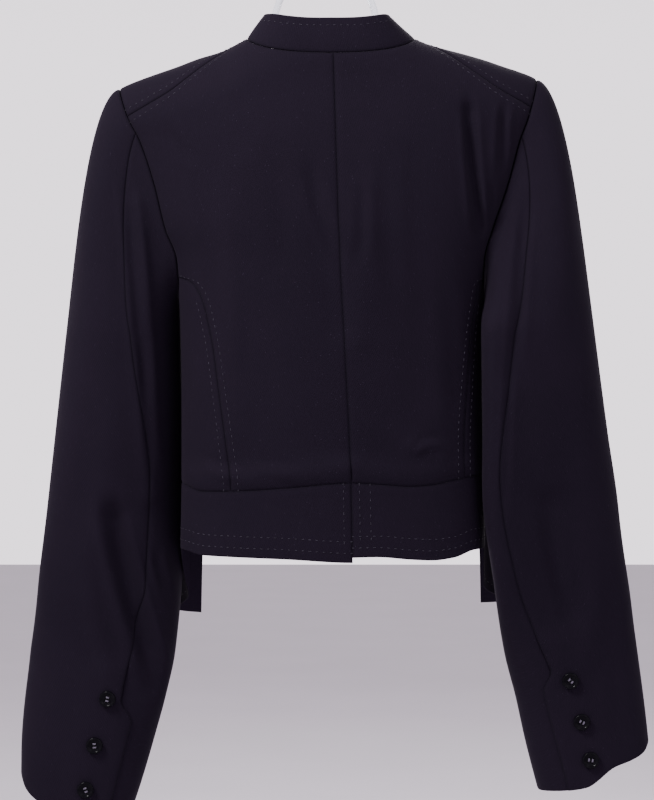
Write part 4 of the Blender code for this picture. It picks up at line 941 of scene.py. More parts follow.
@dataclass
class ClothSheet:
    """One cut piece of cloth, as a thin closed shell on a surface, with its edges rolled in or rounded off."""

    node: str
    surface: Surface
    free: tuple[Edge, ...]
    hangs_from: tuple[str, ...]
    outward: Callable[[Array], Array]
    span: tuple[float, float] = (0.0, 1.0)
    breaks: dict[Edge, float] = field(default_factory=dict)
    wall: float = WALL
    spacing: float = 0.0034
    roll: float = 0.0008
    roll_width: float = 0.0026
    rounding: float = 0.00035
    near: tuple[float, ...] = (0.0, 0.0006, 0.0014, 0.0026)
    samples: int = 160
    runs: int = 5
    reach: float = 0.0015
    area_slack: float = 0.999
    face: Array | None = None
    normal: Array | None = None
    distance: dict[Edge, Array] = field(default_factory=dict)

    def longest(self, across: bool) -> float:
        """Length of the longest of a few lines of the sheet.

        Args:
            across: Whether the lines run across it, and not up it.

        Returns:
            The length.
        """
        lengths = []
        line = np.linspace(0, 1, self.samples)
        for share in np.linspace(0, 1, self.runs):
            fixed = np.full(line.shape, share)
            part, rise = (line, fixed) if across else (fixed, line)
            points = self.surface(part, mix(*self.span, rise))
            lengths.append(float(np.sum(np.linalg.norm(np.diff(points, axis=0), axis=1))))
        return max(lengths)

    def places(self, length: float, edge: Edge) -> Array:
        """Shares of the grid's lines along one measure, closer together by its ends and its break.

        Args:
            length: The sheet's length in that measure.
            edge: The edge that the measure starts at.

        Returns:
            The shares, from 0 to 1.
        """
        stops = [0.0, *(share for key, share in self.breaks.items() if key is edge), 1.0]
        found = [np.zeros(1)]
        for start, stop in zip(stops, stops[1:]):
            reach = (stop - start) * length
            last = self.near[-1] + 0.6 * self.spacing
            inner = np.linspace(last, reach - last, max(3, round(reach / self.spacing)))
            line = np.concatenate((self.near, inner, reach - np.array(self.near[::-1])))
            found.append(start + line[1:] / length)
        return np.concatenate(found)

    def normals(self, part: Array, rise: Array) -> tuple[Array, Array]:
        """Points of the surface and its normals.

        Args:
            part: Part of the way across.
            rise: Place up the sheet.

        Returns:
            The points, and the unit normals turned away from the sheet's core.
        """
        low, high = self.span
        aside = [self.surface(np.clip(part + step, 0, 1), rise) for step in (self.reach, -self.reach)]
        level = [self.surface(part, np.clip(rise + step, low, high)) for step in (self.reach, -self.reach)]
        points = self.surface(part, rise)
        normal = unit(np.cross(aside[0] - aside[1], level[0] - level[1]))
        return points, normal * np.sign(np.sum(normal * self.outward(points)))

    def build(self, finish: Material) -> Object:
        """Make the sheet's object and let it stand for its node.

        Args:
            finish: Material of the cloth.

        Returns:
            The finished piece.
        """
        width, height = self.longest(True), self.longest(False)
        parts, rises = self.places(width, Edge.FIRST), self.places(height, Edge.BOTTOM)
        outer, self.normal = self.normals(*np.meshgrid(parts, mix(*self.span, rises), indexing="ij"))
        first, bottom = np.zeros(outer.shape[:2]), np.zeros(outer.shape[:2])
        first[1:] = np.cumsum(np.linalg.norm(np.diff(outer, axis=0), axis=-1), axis=0)
        bottom[:, 1:] = np.cumsum(np.linalg.norm(np.diff(outer, axis=1), axis=-1), axis=1)
        self.distance = dict(zip(Edge, (first, first[-1] - first, bottom, bottom[:, -1:] - bottom)))
        drop, seam = np.zeros(first.shape), np.full(first.shape, 1.0)
        for edge, distance in self.distance.items():
            near = np.clip(1 - distance / self.roll_width, 0, 1)
            if edge in self.free:
                drop = np.maximum(drop, self.rounding * near**3)
            else:
                drop = np.maximum(drop, self.roll * near**2)
                seam = np.minimum(seam, distance)
        self.face = outer - self.normal * drop[..., None]
        mesh = self.shell(outer - self.normal * self.wall, seam)
        piece = dressed(f"{self.node}_cloth", mesh, finish, self.node)
        return piece

    def shell(self, lining: Array, seam: Array) -> Mesh:
        """Closed shell from the outer and the inner grid, with its weave map, wrong side and distance to a seam.

        Args:
            lining: The inner grid's points.
            seam: Distance to the nearest seam at each point of a grid.

        Returns:
            The mesh.
        """
        index = np.arange(seam.size).reshape(seam.shape)
        quads = np.stack((index[:-1, :-1], index[1:, :-1], index[1:, 1:], index[:-1, 1:]), axis=-1).reshape(-1, 4)
        rim = np.concatenate((index[:, 0], index[-1, 1:], index[-2::-1, -1], index[0, -2:0:-1]))
        after = np.roll(rim, -1)
        rim_quads = np.stack((after, rim, rim + seam.size, after + seam.size), axis=-1)
        faces = np.concatenate((quads, quads[:, ::-1] + seam.size, rim_quads))
        points = np.concatenate((self.face.reshape(-1, 3), lining.reshape(-1, 3)))
        mesh = bpy.data.meshes.new(f"{self.node}_cloth")
        mesh.from_pydata((points + DATUM).tolist(), [], faces.tolist())
        way = np.cross(self.face[1, 0] - self.face[0, 0], self.face[0, 1] - self.face[0, 0])
        if np.dot(way, self.normal[0, 0]) < 0:
            mesh.flip_normals()
        weave = joined(np.abs(points[:, 0]) + points[:, 1], points[:, 2])
        corners = np.zeros(len(mesh.loops), dtype=int)
        mesh.loops.foreach_get("vertex_index", corners)
        mesh.uv_layers.new(name="weave").data.foreach_set("uv", weave[corners].ravel())
        marks = {"seam": np.tile(seam.ravel(), 2), "wrong_side": np.repeat((0.0, 1.0), seam.size)}
        for name, values in marks.items():
            mesh.attributes.new(name, "FLOAT", "POINT").data.foreach_set("value", values)
        return mesh

    def inset(self, edge: Edge, distance: float, start: float, stop: float) -> tuple[Array, Array]:
        """Line that runs at a distance from one edge, on the finished cloth.

        Args:
            edge: The edge that the line follows.
            distance: How far in the line lies.
            start: Share along the edge where it starts.
            stop: Share along the edge where it ends.

        Returns:
            Its points in the row frame and the cloth's normals there.
        """
        gone, face, normal = self.distance[edge], self.face, self.normal
        if edge in (Edge.BOTTOM, Edge.TOP):
            gone, face, normal = gone.T, face.swapaxes(0, 1), normal.swapaxes(0, 1)
        count = gone.shape[1] - 1
        points, ways = [], []
        for line in range(round(start * count), round(stop * count) + 1):
            order = np.argsort(gone[:, line])
            for values, found in ((face, points), (normal, ways)):
                found.append([np.interp(distance, gone[order, line], values[order, line, axis]) for axis in range(3)])
        return np.array(points) + DATUM, unit(np.array(ways))


def linear(code: str) -> tuple[float, float, float, float]:
    """Linear colour from an sRGB hex value."""
    parts = [int(code[start : start + 2], 16) / 255 for start in (1, 3, 5)]
    return (*(c / 12.92 if c <= 0.04045 else ((c + 0.055) / 1.055) ** 2.4 for c in parts), 1.0)


def feed(tree: NodeTree, node: Node, inputs: dict[str | int, object]) -> None:
    """Fill a node's inputs.

    Args:
        tree: The node tree.
        node: The node.
        inputs: Inputs by name or number, each a value or another node's output.
    """
    for name, value in inputs.items():
        if isinstance(value, NodeSocket):
            tree.links.new(value, node.inputs[name])
        else:
            node.inputs[name].default_value = value


def add_node(tree: NodeTree, kind: str, inputs: dict[str | int, object] | None = None, **settings: object) -> Node:
    """Add one node to a tree.

    Args:
        tree: The node tree.
        kind: Type name of the node.
        inputs: Inputs by name or number, each a value or another node's output.
        settings: Properties to set on it first.

    Returns:
        The new node.
    """
    node = tree.nodes.new(kind)
    for name, value in settings.items():
        setattr(node, name, value)
    feed(tree, node, inputs or {})
    return node


def noise(tree: NodeTree, place: NodeSocket, scale: float, detail: float = 2.0, roughness: float = 0.5) -> NodeSocket:
    """Cloudy noise from 0 to 1 over a place."""
    inputs = {"Scale": scale, "Detail": detail, "Roughness": roughness, "Vector": place}
    return add_node(tree, "ShaderNodeTexNoise", inputs).outputs["Fac"]


def spread(tree: NodeTree, value: NodeSocket, ends: Row, eased: bool = False) -> NodeSocket:
    """Map a value from one range to another.

    Args:
        tree: The node tree.
        value: The value.
        ends: Ends of its range, then of the new one.
        eased: Whether it eases in and out.

    Returns:
        The new value.
    """
    inputs = dict(zip(("From Min", "From Max", "To Min", "To Max"), ends)) | {"Value": value}
    kind = "SMOOTHSTEP" if eased else "LINEAR"
    return add_node(tree, "ShaderNodeMapRange", inputs, interpolation_type=kind).outputs["Result"]


def blend(tree: NodeTree, part: NodeSocket, *tones: NodeSocket | str) -> NodeSocket:
    """Mix two tones.

    Args:
        tree: The node tree.
        part: Share of the second tone.
        tones: Two outputs or sRGB hex values.

    Returns:
        The mixed colour.
    """
    first, second = (linear(tone) if isinstance(tone, str) else tone for tone in tones)
    return add_node(tree, "ShaderNodeMix", {0: part, 6: first, 7: second}, data_type="RGBA").outputs[2]


def raised(tree: NodeTree, *reliefs: tuple[NodeSocket, float]) -> NodeSocket:
    """Shading normal of a surface raised by several reliefs.

    Args:
        tree: The node tree.
        reliefs: Each relief from 0 to 1, with its height in metres.

    Returns:
        The normal.
    """
    total = 0.0
    for relief, height in reliefs:
        sum_node = add_node(tree, "ShaderNodeMath", {0: relief, 1: height, 2: total}, operation="MULTIPLY_ADD")
        total = sum_node.outputs[0]
    inputs = {"Strength": 1.0, "Distance": 1.0, "Height": total}
    return add_node(tree, "ShaderNodeBump", inputs).outputs["Normal"]


@dataclass(frozen=True)
class SurfaceFinish:
    """Common start of the finishes: a name, a base colour and the way they become a material."""

    name: str
    colour: str

    def paint(self, tree: NodeTree, place: NodeSocket) -> dict[str, object]:
        """What goes into the Principled shader, by input, given the tree and the place on the object."""
        return {"Base Color": linear(self.colour)}

    def make(self) -> Material:
        """Build the material.

        Returns:
            The material.
        """
        finish = bpy.data.materials.new(self.name)
        finish.use_nodes = True
        tree = finish.node_tree
        place = add_node(tree, "ShaderNodeTexCoord").outputs["Object"]
        feed(tree, tree.nodes["Principled BSDF"], self.paint(tree, place))
        return finish


@dataclass(frozen=True)
class WoolTwill(SurfaceFinish):
    """Worsted wool twill, woven and pressed: near black, dull, with a faint nap, lint and a matt wrong side."""

    name: str = "worsted_wool_twill"
    colour: str = "#16111a"
    deep: str = "#0d0a11"
    fleck: str = "#3a3342"
    seam_shade: str = "#08070b"
    wrong_side: str = "#1b1620"
    gloss: float = 0.06
    sheen: float = 0.04
    twill_pitch: float = 0.0018

    def paint(self, tree: NodeTree, place: NodeSocket) -> dict[str, object]:
        """What goes into the shader; the twill is drawn at twice its real pitch, to show from a step away.

        Args:
            tree: The material's tree.
            place: Place on the object.

        Returns:
            Values and outputs by input.
        """
        weave = add_node(tree, "ShaderNodeUVMap", uv_map="weave").outputs["UV"]
        turn = (0, 0, math.radians(27))
        turned = add_node(tree, "ShaderNodeMapping", {"Rotation": turn, "Vector": weave}).outputs["Vector"]
        inputs = {"Scale": WAVE_PITCH_FACTOR / self.twill_pitch, "Distortion": 0.6, "Detail": 2.0, "Detail Scale": 3.0}
        twill = add_node(tree, "ShaderNodeTexWave", inputs | {"Vector": turned}, bands_direction="X").outputs["Fac"]
        nap = noise(tree, place, 900.0, 3.0, 0.65)
        cloth = blend(tree, noise(tree, place, 7.0, 4.0, 0.6), self.deep, self.colour)
        cloth = blend(tree, spread(tree, nap, (0.42, 0.72, 0.0, 0.75)), cloth, self.colour)
        lint = add_node(tree, "ShaderNodeTexVoronoi", {"Scale": 210.0, "Vector": place}).outputs["Distance"]
        cloth = blend(tree, spread(tree, lint, (0.035, 0.08, 0.6, 0.0)), cloth, self.fleck)
        edge, turned_in = (
            add_node(tree, "ShaderNodeAttribute", attribute_name=name).outputs["Fac"] for name in ("seam", "wrong_side")
        )
        cloth = blend(tree, spread(tree, edge, (0.0004, 0.0024, 0.40, 0.0)), cloth, self.seam_shade)
        ridge = spread(tree, edge, (0.0, 0.007, 0.0, 1.0), eased=True)
        return {
            "Base Color": blend(tree, turned_in, cloth, self.wrong_side),
            "Normal": raised(tree, (twill, 0.00007), (nap, 0.00016), (ridge, 0.00035)),
            "Roughness": 0.86,
            "Specular IOR Level": spread(tree, turned_in, (0.0, 1.0, self.gloss, 0.0)),
            "Specular Tint": linear("#c4b4d2"),
            "Sheen Weight": spread(tree, turned_in, (0.0, 1.0, self.sheen, 0.0)),
            "Sheen Roughness": 0.45,
            "Sheen Tint": linear("#96889e"),
        }


@dataclass(frozen=True)
class ButtonholeThread(SurfaceFinish):
    """Twisted polyester buttonhole thread: a grey that stands off the black cloth, with a silky gloss."""

    name: str = "twisted_polyester_thread"
    colour: str = "#2f2a36"
    shadow: str = "#1b1820"
    gloss: float = 0.16
    twist_pitch: float = 0.0006

    def paint(self, tree: NodeTree, place: NodeSocket) -> dict[str, object]:
        """What goes into the shader.

        Args:
            tree: The material's tree.
            place: Place on the object.

        Returns:
            Values and outputs by input.
        """
        inputs = {"Scale": WAVE_PITCH_FACTOR / self.twist_pitch, "Distortion": 0.3, "Vector": place}
        plies = add_node(tree, "ShaderNodeTexWave", inputs, bands_direction="DIAGONAL").outputs["Fac"]
        tone = blend(tree, plies, self.shadow, self.colour)
        return {"Base Color": tone, "Roughness": 0.55, "Specular IOR Level": self.gloss, "Sheen Weight": 0.05}


@dataclass(frozen=True)
class PolishedButton(SurfaceFinish):
    """Cast polyester button, tumbled: black, high gloss, with the faint waviness of a polished face."""

    name: str = "cast_polyester_button"
    colour: str = "#070609"
    swirl: str = "#0b0a0e"

    def paint(self, tree: NodeTree, place: NodeSocket) -> dict[str, object]:
        """What goes into the shader.

        Args:
            tree: The material's tree.
            place: Place on the object.

        Returns:
            Values and outputs by input.
        """
        waves = noise(tree, place, 260.0)
        return {
            "Base Color": blend(tree, waves, self.colour, self.swirl),
            "Normal": raised(tree, (waves, 0.00005)),
            "Roughness": 0.13,
            "IOR": 1.5,
            "Specular IOR Level": 0.035,
        }


@dataclass(frozen=True)
class ClearPolystyrene(SurfaceFinish):
    """Moulded clear polystyrene: glassy, a breath of blue, with fine scratches from the rail."""

    name: str = "moulded_clear_polystyrene"
    colour: str = "#eef3f8"

    def paint(self, tree: NodeTree, place: NodeSocket) -> dict[str, object]:
        """What goes into the shader.

        Args:
            tree: The material's tree.
            place: Place on the object.

        Returns:
            Values and outputs by input.
        """
        flow = noise(tree, place, 60.0, 3.0)
        scratched = spread(tree, flow, (0.4, 0.8, 0.03, 0.14))
        clear = {"Normal": raised(tree, (flow, 0.0002)), "IOR": 1.58, "Transmission Weight": 0.92}
        return clear | {"Base Color": linear(self.colour), "Roughness": scratched}


@dataclass(frozen=True)
class PlatedWire(SurfaceFinish):
    """Drawn steel wire, zinc plated: bright, with faint draw marks."""

    name: str = "zinc_plated_steel_wire"
    colour: str = "#c9cbd0"

    def paint(self, tree: NodeTree, place: NodeSocket) -> dict[str, object]:
        """What goes into the shader, given the tree and the place on the object."""
        marks = spread(tree, noise(tree, place, 900.0), (0.3, 0.7, 0.14, 0.30))
        return {"Base Color": linear(self.colour), "Roughness": marks, "Metallic": 1.0}


@dataclass(frozen=True)
class FloorPaint(SurfaceFinish):
    """Matt floor paint: pale, very slightly uneven."""

    name: str = "matt_floor_paint"
    colour: str = "#cdc7cf"
    pale: str = "#d5cfd7"

    def paint(self, tree: NodeTree, place: NodeSocket) -> dict[str, object]:
        """What goes into the shader, given the tree and the place on the object."""
        return {"Base Color": blend(tree, noise(tree, place, 3.0), self.colour, self.pale), "Roughness": 0.9}


@dataclass
class SaddleStitching:
    """Hand-look topstitching: short thick stitches laid along lines on the cloth by a node tree."""

    thread: Material
    seed: int
    pitch: float = 0.0060
    length: float = 0.0027
    thickness: float = 0.00062
    lift: float = 0.00012
    lines: list[tuple[Array, Array]] = field(default_factory=list)

    def add(self, sheet: ClothSheet, edge: Edge, distance: float, start: float, stop: float) -> None:
        """Lay one line of stitches at a distance from an edge of a sheet."""
        points, ways = sheet.inset(edge, distance, start, stop)
        self.lines.append((points + ways * self.lift, ways))

    def guide(self, name: str) -> Object:
        """Mesh of the lines, which carries the way up of the cloth at each point.

        Args:
            name: Name of the piece.

        Returns:
            The guide.
        """
        points, joins = [], []
        for line, _ in self.lines:
            joins += [(len(points) + step, len(points) + step + 1) for step in range(len(line) - 1)]
            points += [tuple(point) for point in line]
        mesh = bpy.data.meshes.new(name)
        mesh.from_pydata(points, joins, [])
        ways = mesh.attributes.new("way_up", "FLOAT_VECTOR", "POINT")
        ways.data.foreach_set("vector", np.concatenate([way for _, way in self.lines]).ravel())
        guide = bpy.data.objects.new(name, mesh)
        bpy.context.collection.objects.link(guide)
        return guide

    def tree(self, name: str) -> NodeTree:
        """Node tree that sets a stitch at every pitch along the lines.

        Args:
            name: Name of the tree.

        Returns:
            The tree.
        """
        tree = bpy.data.node_groups.new(name, "GeometryNodeTree")
        kinds = {"Lines": "Geometry", "Pitch": "Float", "Stitch Length": "Float", "Thickness": "Float"}
        kinds["Thread"] = "Material"
        for socket, kind in kinds.items():
            tree.interface.new_socket(socket, in_out="INPUT", socket_type=f"NodeSocket{kind}")
        tree.interface.new_socket("Stitches", in_out="OUTPUT", socket_type="NodeSocketGeometry")
        given = add_node(tree, "NodeGroupInput").outputs

        def step(kind: str, inputs: dict[str | int, object], **settings: object) -> NodeSocket:
            """First output of a new node of the tree."""
            return add_node(tree, kind, inputs, **settings).outputs[0]

        path = step("GeometryNodeMeshToCurve", {"Mesh": given["Lines"]})
        spaced = step("GeometryNodeResampleCurve", {"Curve": path, "Length": given["Pitch"]}, mode="LENGTH")
        bead = step("GeometryNodeMeshUVSphere", {"Segments": 6, "Rings": 4, "Radius": 0.5})
        half = {"X": given["Stitch Length"], "Y": given["Thickness"], "Z": given["Thickness"]}
        way_up = step("GeometryNodeInputNamedAttribute", {"Name": "way_up"}, data_type="FLOAT_VECTOR")
        tangent = step("GeometryNodeInputTangent", {})
        along = step("FunctionNodeAlignRotationToVector", {"Vector": tangent}, axis="X")
        upright = step(
            "FunctionNodeAlignRotationToVector", {"Rotation": along, "Vector": way_up}, axis="Z", pivot_axis="X"
        )
        uneven, tilt = (
            step("FunctionNodeRandomValue", {"Min": low, "Max": high, "Seed": seed}, data_type="FLOAT_VECTOR")
            for low, high, seed in (
                ((0.80, 0.85, 0.8), (1.15, 1.10, 1.1), self.seed),
                ((0.0, 0.0, -0.10), (0.0, 0.0, 0.10), self.seed + 1),
            )
        )
        size = step("ShaderNodeVectorMath", {0: step("ShaderNodeCombineXYZ", half), 1: uneven}, operation="MULTIPLY")
        turned = step("FunctionNodeRotateRotation", {"Rotation": upright, "Rotate By": tilt}, rotation_space="LOCAL")
        laid = {"Points": spaced, "Instance": bead, "Rotation": turned, "Scale": size}
        real = step("GeometryNodeRealizeInstances", {"Geometry": step("GeometryNodeInstanceOnPoints", laid)})
        finished = step("GeometryNodeSetMaterial", {"Geometry": real, "Material": given["Thread"]})
        add_node(tree, "NodeGroupOutput", {"Stitches": finished})
        return tree

    def build(self, name: str) -> None:
        """Turn the lines into one plain mesh of stitches.

        Args:
            name: Name of the piece.
        """
        guide = self.guide(name)
        maker = guide.modifiers.new("stitches", "NODES")
        maker.node_group = self.tree(name)
        given = {"Pitch": self.pitch, "Stitch Length": self.length, "Thickness": self.thickness, "Thread": self.thread}
        for item in maker.node_group.interface.items_tree:
            if item.in_out == "INPUT" and item.name in given:
                maker[item.identifier] = given[item.name]
        mesh = bpy.data.meshes.new_from_object(guide.evaluated_get(bpy.context.evaluated_depsgraph_get()))
        guide.modifiers.clear()
        guide.data = mesh
        mesh.shade_smooth()
        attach(guide, "root")
        log.info("%s: %d faces", name, len(mesh.polygons))


def from_spine(points: Array) -> Array:
    """Way from the body's axis to each point."""
    return points * np.array((0.8, 1.0, 0.0)) + np.array((0.0, 0.0, 0.02))


@dataclass
class Bodice:
    """Body of the jacket: two backs, two side backs and two fronts that wrap over the shoulder."""

    form: TorsoForm
    seam_gap: float = 0.0001
    junction_share: float = 0.45
    waist_height: float = -0.384
    front_corner: tuple[float, float] = (-0.506, -0.497)
    side_hem: tuple[float, float] = (-0.4370, -0.4365)

    def back(self, side: Side) -> ClothSheet:
        """Back from the centre seam to the princess seam, the armhole and the shoulder seam.

        Args:
            side: Left or right.

        Returns:
            The sheet.
        """
        form, share = self.form, self.junction_share
        junction = form.princess_top(side)

        def centre(height: Array, facing: Array) -> Array:
            """Centre seam."""
            return form.centre_turn(side, height)

        def outer(height: Array, facing: Array) -> Array:
            """Princess seam, then the armhole above it."""
            armhole = form.armhole_turn(side, height, -1)
            return np.where(height > junction, armhole, form.princess_turn(side, height))

        waist = form.level_edge(side, -1, lambda part, across: form.waist_seam(across))
        joint = form.level_edge(side, -1, lambda part, across: np.full(np.shape(across), junction))
        lower = RuledPanel(form, side, centre, outer, waist, joint)
        upper = RuledPanel(form, side, centre, outer, joint, partial(form.shoulder_edge, side, self.seam_gap))

        def surface(part: Array, rise: Array) -> Array:
            """Lower panel up to the joint, then the upper one."""
            low = lower(part, np.minimum(rise / share, 1))
            high = upper(part, np.maximum((rise - share) / (1 - share), 0))
            return np.where((rise < share)[..., None], low, high)

        neck_height = float(form.tables["neck"]["height"](form.neck_shoulder))
        inner_turn = form.centre_turn(side, neck_height)
        neck_turn = turn_of(form.neck_half_width / form.half_width(side, neck_height))
        outer_turn = form.armhole_turn(side, form.armhole_tip(side), -1)
        neck_share = float((neck_turn - inner_turn) / (outer_turn - inner_turn))
        breaks = {Edge.FIRST: neck_share, Edge.BOTTOM: share}
        return ClothSheet(f"back_{side.word}", surface, (), ("hanger",), from_spine, breaks=breaks)

    def side_back(self, side: Side) -> ClothSheet:
        """Side back from the princess seam to the side seam, under the armhole.

        Args:
            side: Left or right.

        Returns:
            The sheet.
        """
        form = self.form
        top_height = form.princess_top(side)
        low_around = np.linspace(form.armhole_low_start, 180, 13)
        floor = Curve(form.tables["armhole"]["turn"](low_around), form.armhole_height(side, low_around))
        low_turn = form.princess_turn(side, self.waist_height)
        low_height = float(form.waist_seam(form.across_at(side, low_turn, self.waist_height)))

        def left(rise: Array | float) -> Array:
            """Princess seam, as turn and height."""
            height = mix(low_height, top_height, rise)
            return joined(form.princess_turn(side, height), height)

        def bottom(part: Array | float) -> Array:
            """Waist seam."""
            turn = mix(left(0.0)[0], 90.0, part)
            return joined(turn, form.waist_seam(form.across_at(side, turn, low_height)))

        def top(part: Array | float) -> Array:
            """Armhole's floor."""
            turn = mix(left(1.0)[0], 90.0, part)
            return joined(turn, np.minimum(floor(turn), top_height))

        def right(rise: Array | float) -> Array:
            """Side seam."""
            return joined(90.0, mix(bottom(1.0)[1], top(1.0)[1], rise))

        def surface(part: Array, rise: Array) -> Array:
            """Patch between the four edges."""
            across, up = part[..., None], rise[..., None]
            sides, levels = mix(left(rise), right(rise), across), mix(bottom(part), top(part), up)
            corners = mix(mix(bottom(0.0), bottom(1.0), across), mix(top(0.0), top(1.0), across), up)
            place = sides + levels - corners
            return form.point(side, place[..., 0], place[..., 1], np.full(part.shape, -1))

        return ClothSheet(f"side_back_{side.word}", surface, (), (f"back_{side.word}_cloth",), from_spine)

    def front(self, side: Side) -> ClothSheet:
        """Front from the open edge to the side seam and the armhole, over the shoulder.

        Args:
            side: Left or right.

        Returns:
            The sheet.
        """
        form = self.form

        def inner(height: Array, facing: Array) -> Array:
            """Open edge, then the neckline above it."""
            low, high = form.tables["edge"]["across"](height), form.tables["neck_front"]["across"](height)
            return 180 - turn_of(np.where(height < form.neck_front_height, low, high) / form.half_width(side, height))

        def outer(height: Array, facing: Array) -> Array:
            """Side seam, then the armhole up to the ridge and down behind it."""
            before = np.where(height > form.armhole_bottom, form.armhole_turn(side, height, 1), 90.0)
            return np.where(facing < 0, 180 - form.armhole_turn(side, height, -1), before)

        def hem(part: Array, across: Array) -> Array:
            """Height of the hem, which falls to the front corner."""
            return mix(side.pick(self.side_hem), side.pick(self.front_corner), form.tables["hem"]["dip"](part))

        top = partial(form.shoulder_edge, side, -self.seam_gap)
        surface = RuledPanel(form, side, inner, outer, form.level_edge(side, 1, hem), top)
        return ClothSheet(f"front_{side.word}", surface, (Edge.FIRST, Edge.BOTTOM), ("hanger",), from_spine)

    def pieces(self) -> list[ClothSheet]:
        """All six sheets."""
        return [cut(side) for side in Side for cut in (self.back, self.side_back, self.front)]


@dataclass
class Waistband:
    """Two waistband pieces, joined at centre back, where the left one hangs a little lower."""

    form: TorsoForm
    seam_gap: float = 0.00004

    def half(self, side: Side) -> ClothSheet:
        """Half of the waistband, from the centre seam to the side seam.

        Args:
            side: Left or right.

        Returns:
            The sheet.
        """
        form = self.form
        surface = RuledPanel(
            form,
            side,
            lambda height, facing: form.centre_turn(side, height),
            lambda height, facing: np.full(np.shape(height), 90.0),
            form.level_edge(side, -1, lambda part, across: form.tables["waist"][side.word](across)),
            form.level_edge(side, -1, lambda part, across: form.waist_seam(across), -self.seam_gap),
        )
        hangs_from = (f"back_{side.word}_cloth",)
        return ClothSheet(f"waistband_{side.word}", surface, (Edge.LAST, Edge.BOTTOM), hangs_from, from_spine)

    def pieces(self) -> list[ClothSheet]:
        """Both halves."""
        return [self.half(side) for side in Side]


@dataclass
class StandCollar:
    """Stand collar round the neckline, leaning inward."""

    form: TorsoForm
    end: float = 138.0
    axis: float = -0.005
    foot: float = 0.0001
    crown: float = 0.0010
    wave: float = 0.0004
    wave_turns: float = 3.1
    wave_start: float = 40.0
    rows: Table = (
        (0, 0.0326, 0.0080, 0.0080),
        (45, 0.0310, 0.0100, 0.0130),
        (75, 0.0250, 0.0150, 0.0230),
        (90, 0.0218, 0.0176, 0.0280),
        (110, 0.0225, 0.0160, 0.0220),
        (138, 0.0240, 0.0080, 0.0080),
    )

    def neck_point(self, around: Array) -> Array:
        """Point of the neckline.

        Args:
            around: Signed angle from centre back, left below zero.

        Returns:
            The point.
        """
        form, size = self.form, np.abs(around)
        height, across = form.tables["neck"]["height"](size), form.tables["neck"]["across"](size)
        facing = np.where(size < form.neck_shoulder, -1, 1)
        found = [form.point(side, turn_of(across / form.half_width(side, height)), height, facing) for side in Side]
        return np.where((around < 0)[..., None], *found)

    def surface(self, part: Array, rise: Array) -> Array:
        """Outer face.

        Args:
            part: Part of the way round, from the left end.
            rise: Part of the way up from the neckline.

        Returns:
            The points.
        """
        table = curves("around height left right", self.rows)
        around = np.clip(mix(-self.end, self.end, part), -self.end, self.end)
        base, size = self.neck_point(around), np.abs(around)
        lean = np.where(around < 0, table["left"](size), table["right"](size))
        inward = unit(base * np.array((-1.0, -1.0, 0.0)) + np.array((self.axis, 0.0, 0.0)))
        up = inward * lean[..., None]
        up[..., 2] += table["height"](size)
        slant = np.linalg.norm(up, axis=-1)
        wave = self.wave * np.sin(np.radians(around * self.wave_turns + self.wave_start)) * smooth(rise)
        swell = self.crown * np.sin(np.pi * np.clip(rise, 0, 1)) + wave
        return base + up * mix(self.foot / slant, 1.0, rise)[..., None] - inward * swell[..., None]

    def pieces(self) -> list[ClothSheet]:
        """The one sheet.

        Returns:
            The sheet, in a list.
        """
        sheet = ClothSheet(
            "collar",
            self.surface,
            (Edge.FIRST, Edge.LAST, Edge.TOP),
            ("back_left_cloth", "back_right_cloth"),
            lambda points: points * np.array((1.0, 1.0, 0.0)),
            wall=COLLAR_WALL,
            spacing=0.0028,
            roll=0.0005,
            rounding=0.0007,
        )
        return [sheet]


@dataclass
class Sleeves:
    """Two-piece sleeves with a lapped cuff vent."""

    form: SleeveForm

    def piece(self, side: Side, name: str, surface: Callable) -> ClothSheet:
        """One half of a sleeve, which names the front as what it hangs from."""
        outward, hangs_from = partial(self.form.away, side), (f"front_{side.word}_cloth",)
        return ClothSheet(f"{name}_{side.word}", partial(surface, side), (Edge.TOP,), hangs_from, outward, (0.0, 2.0))

    def pieces(self) -> list[ClothSheet]:
        """All four pieces."""
        halves = (("upper_sleeve", self.form.upper), ("under_sleeve", self.form.under))
        return [self.piece(side, *half) for side in Side for half in halves]


def to_mesh(shape: BMesh, name: str) -> Mesh:
    """Mesh of a shape, its faces turned outward.

    Args:
        shape: The shape, which is used up.
        name: Name of the mesh.

    Returns:
        The mesh.
    """
    bmesh.ops.recalc_face_normals(shape, faces=shape.faces[:])
    mesh = bpy.data.meshes.new(name)
    shape.to_mesh(mesh)
    shape.free()
    return mesh


def turned(shape: BMesh, outline: Sequence[Row], steps: int) -> None:
    """Add a solid turned about the upright axis.

    Args:
        shape: The shape to add to.
        outline: Rows of radius and height, from axis to axis.
        steps: Steps of the turn.
    """
    verts = [shape.verts.new((radius, 0.0, height)) for radius, height in outline]
    joins = [shape.edges.new(pair) for pair in zip(verts, verts[1:])]
    bmesh.ops.spin(shape, geom=verts + joins, axis=(0, 0, 1), cent=(0, 0, 0), angle=math.tau, steps=steps)
    bmesh.ops.remove_doubles(shape, verts=shape.verts[:], dist=WELD_DISTANCE)


def loft(shape: BMesh, rings: list[list[BMVert]]) -> None:
    """Add a skin over rings of corners, closed at both ends.

    Args:
        shape: The shape to add to.
        rings: The rings, all with the same number of corners.
    """
    for first, second in zip(rings, rings[1:]):
        for step, corner in enumerate(first):
            after = (step + 1) % len(first)
            shape.faces.new((corner, first[after], second[after], second[step]))
    for end in (rings[0], rings[-1]):
        shape.faces.new(end)


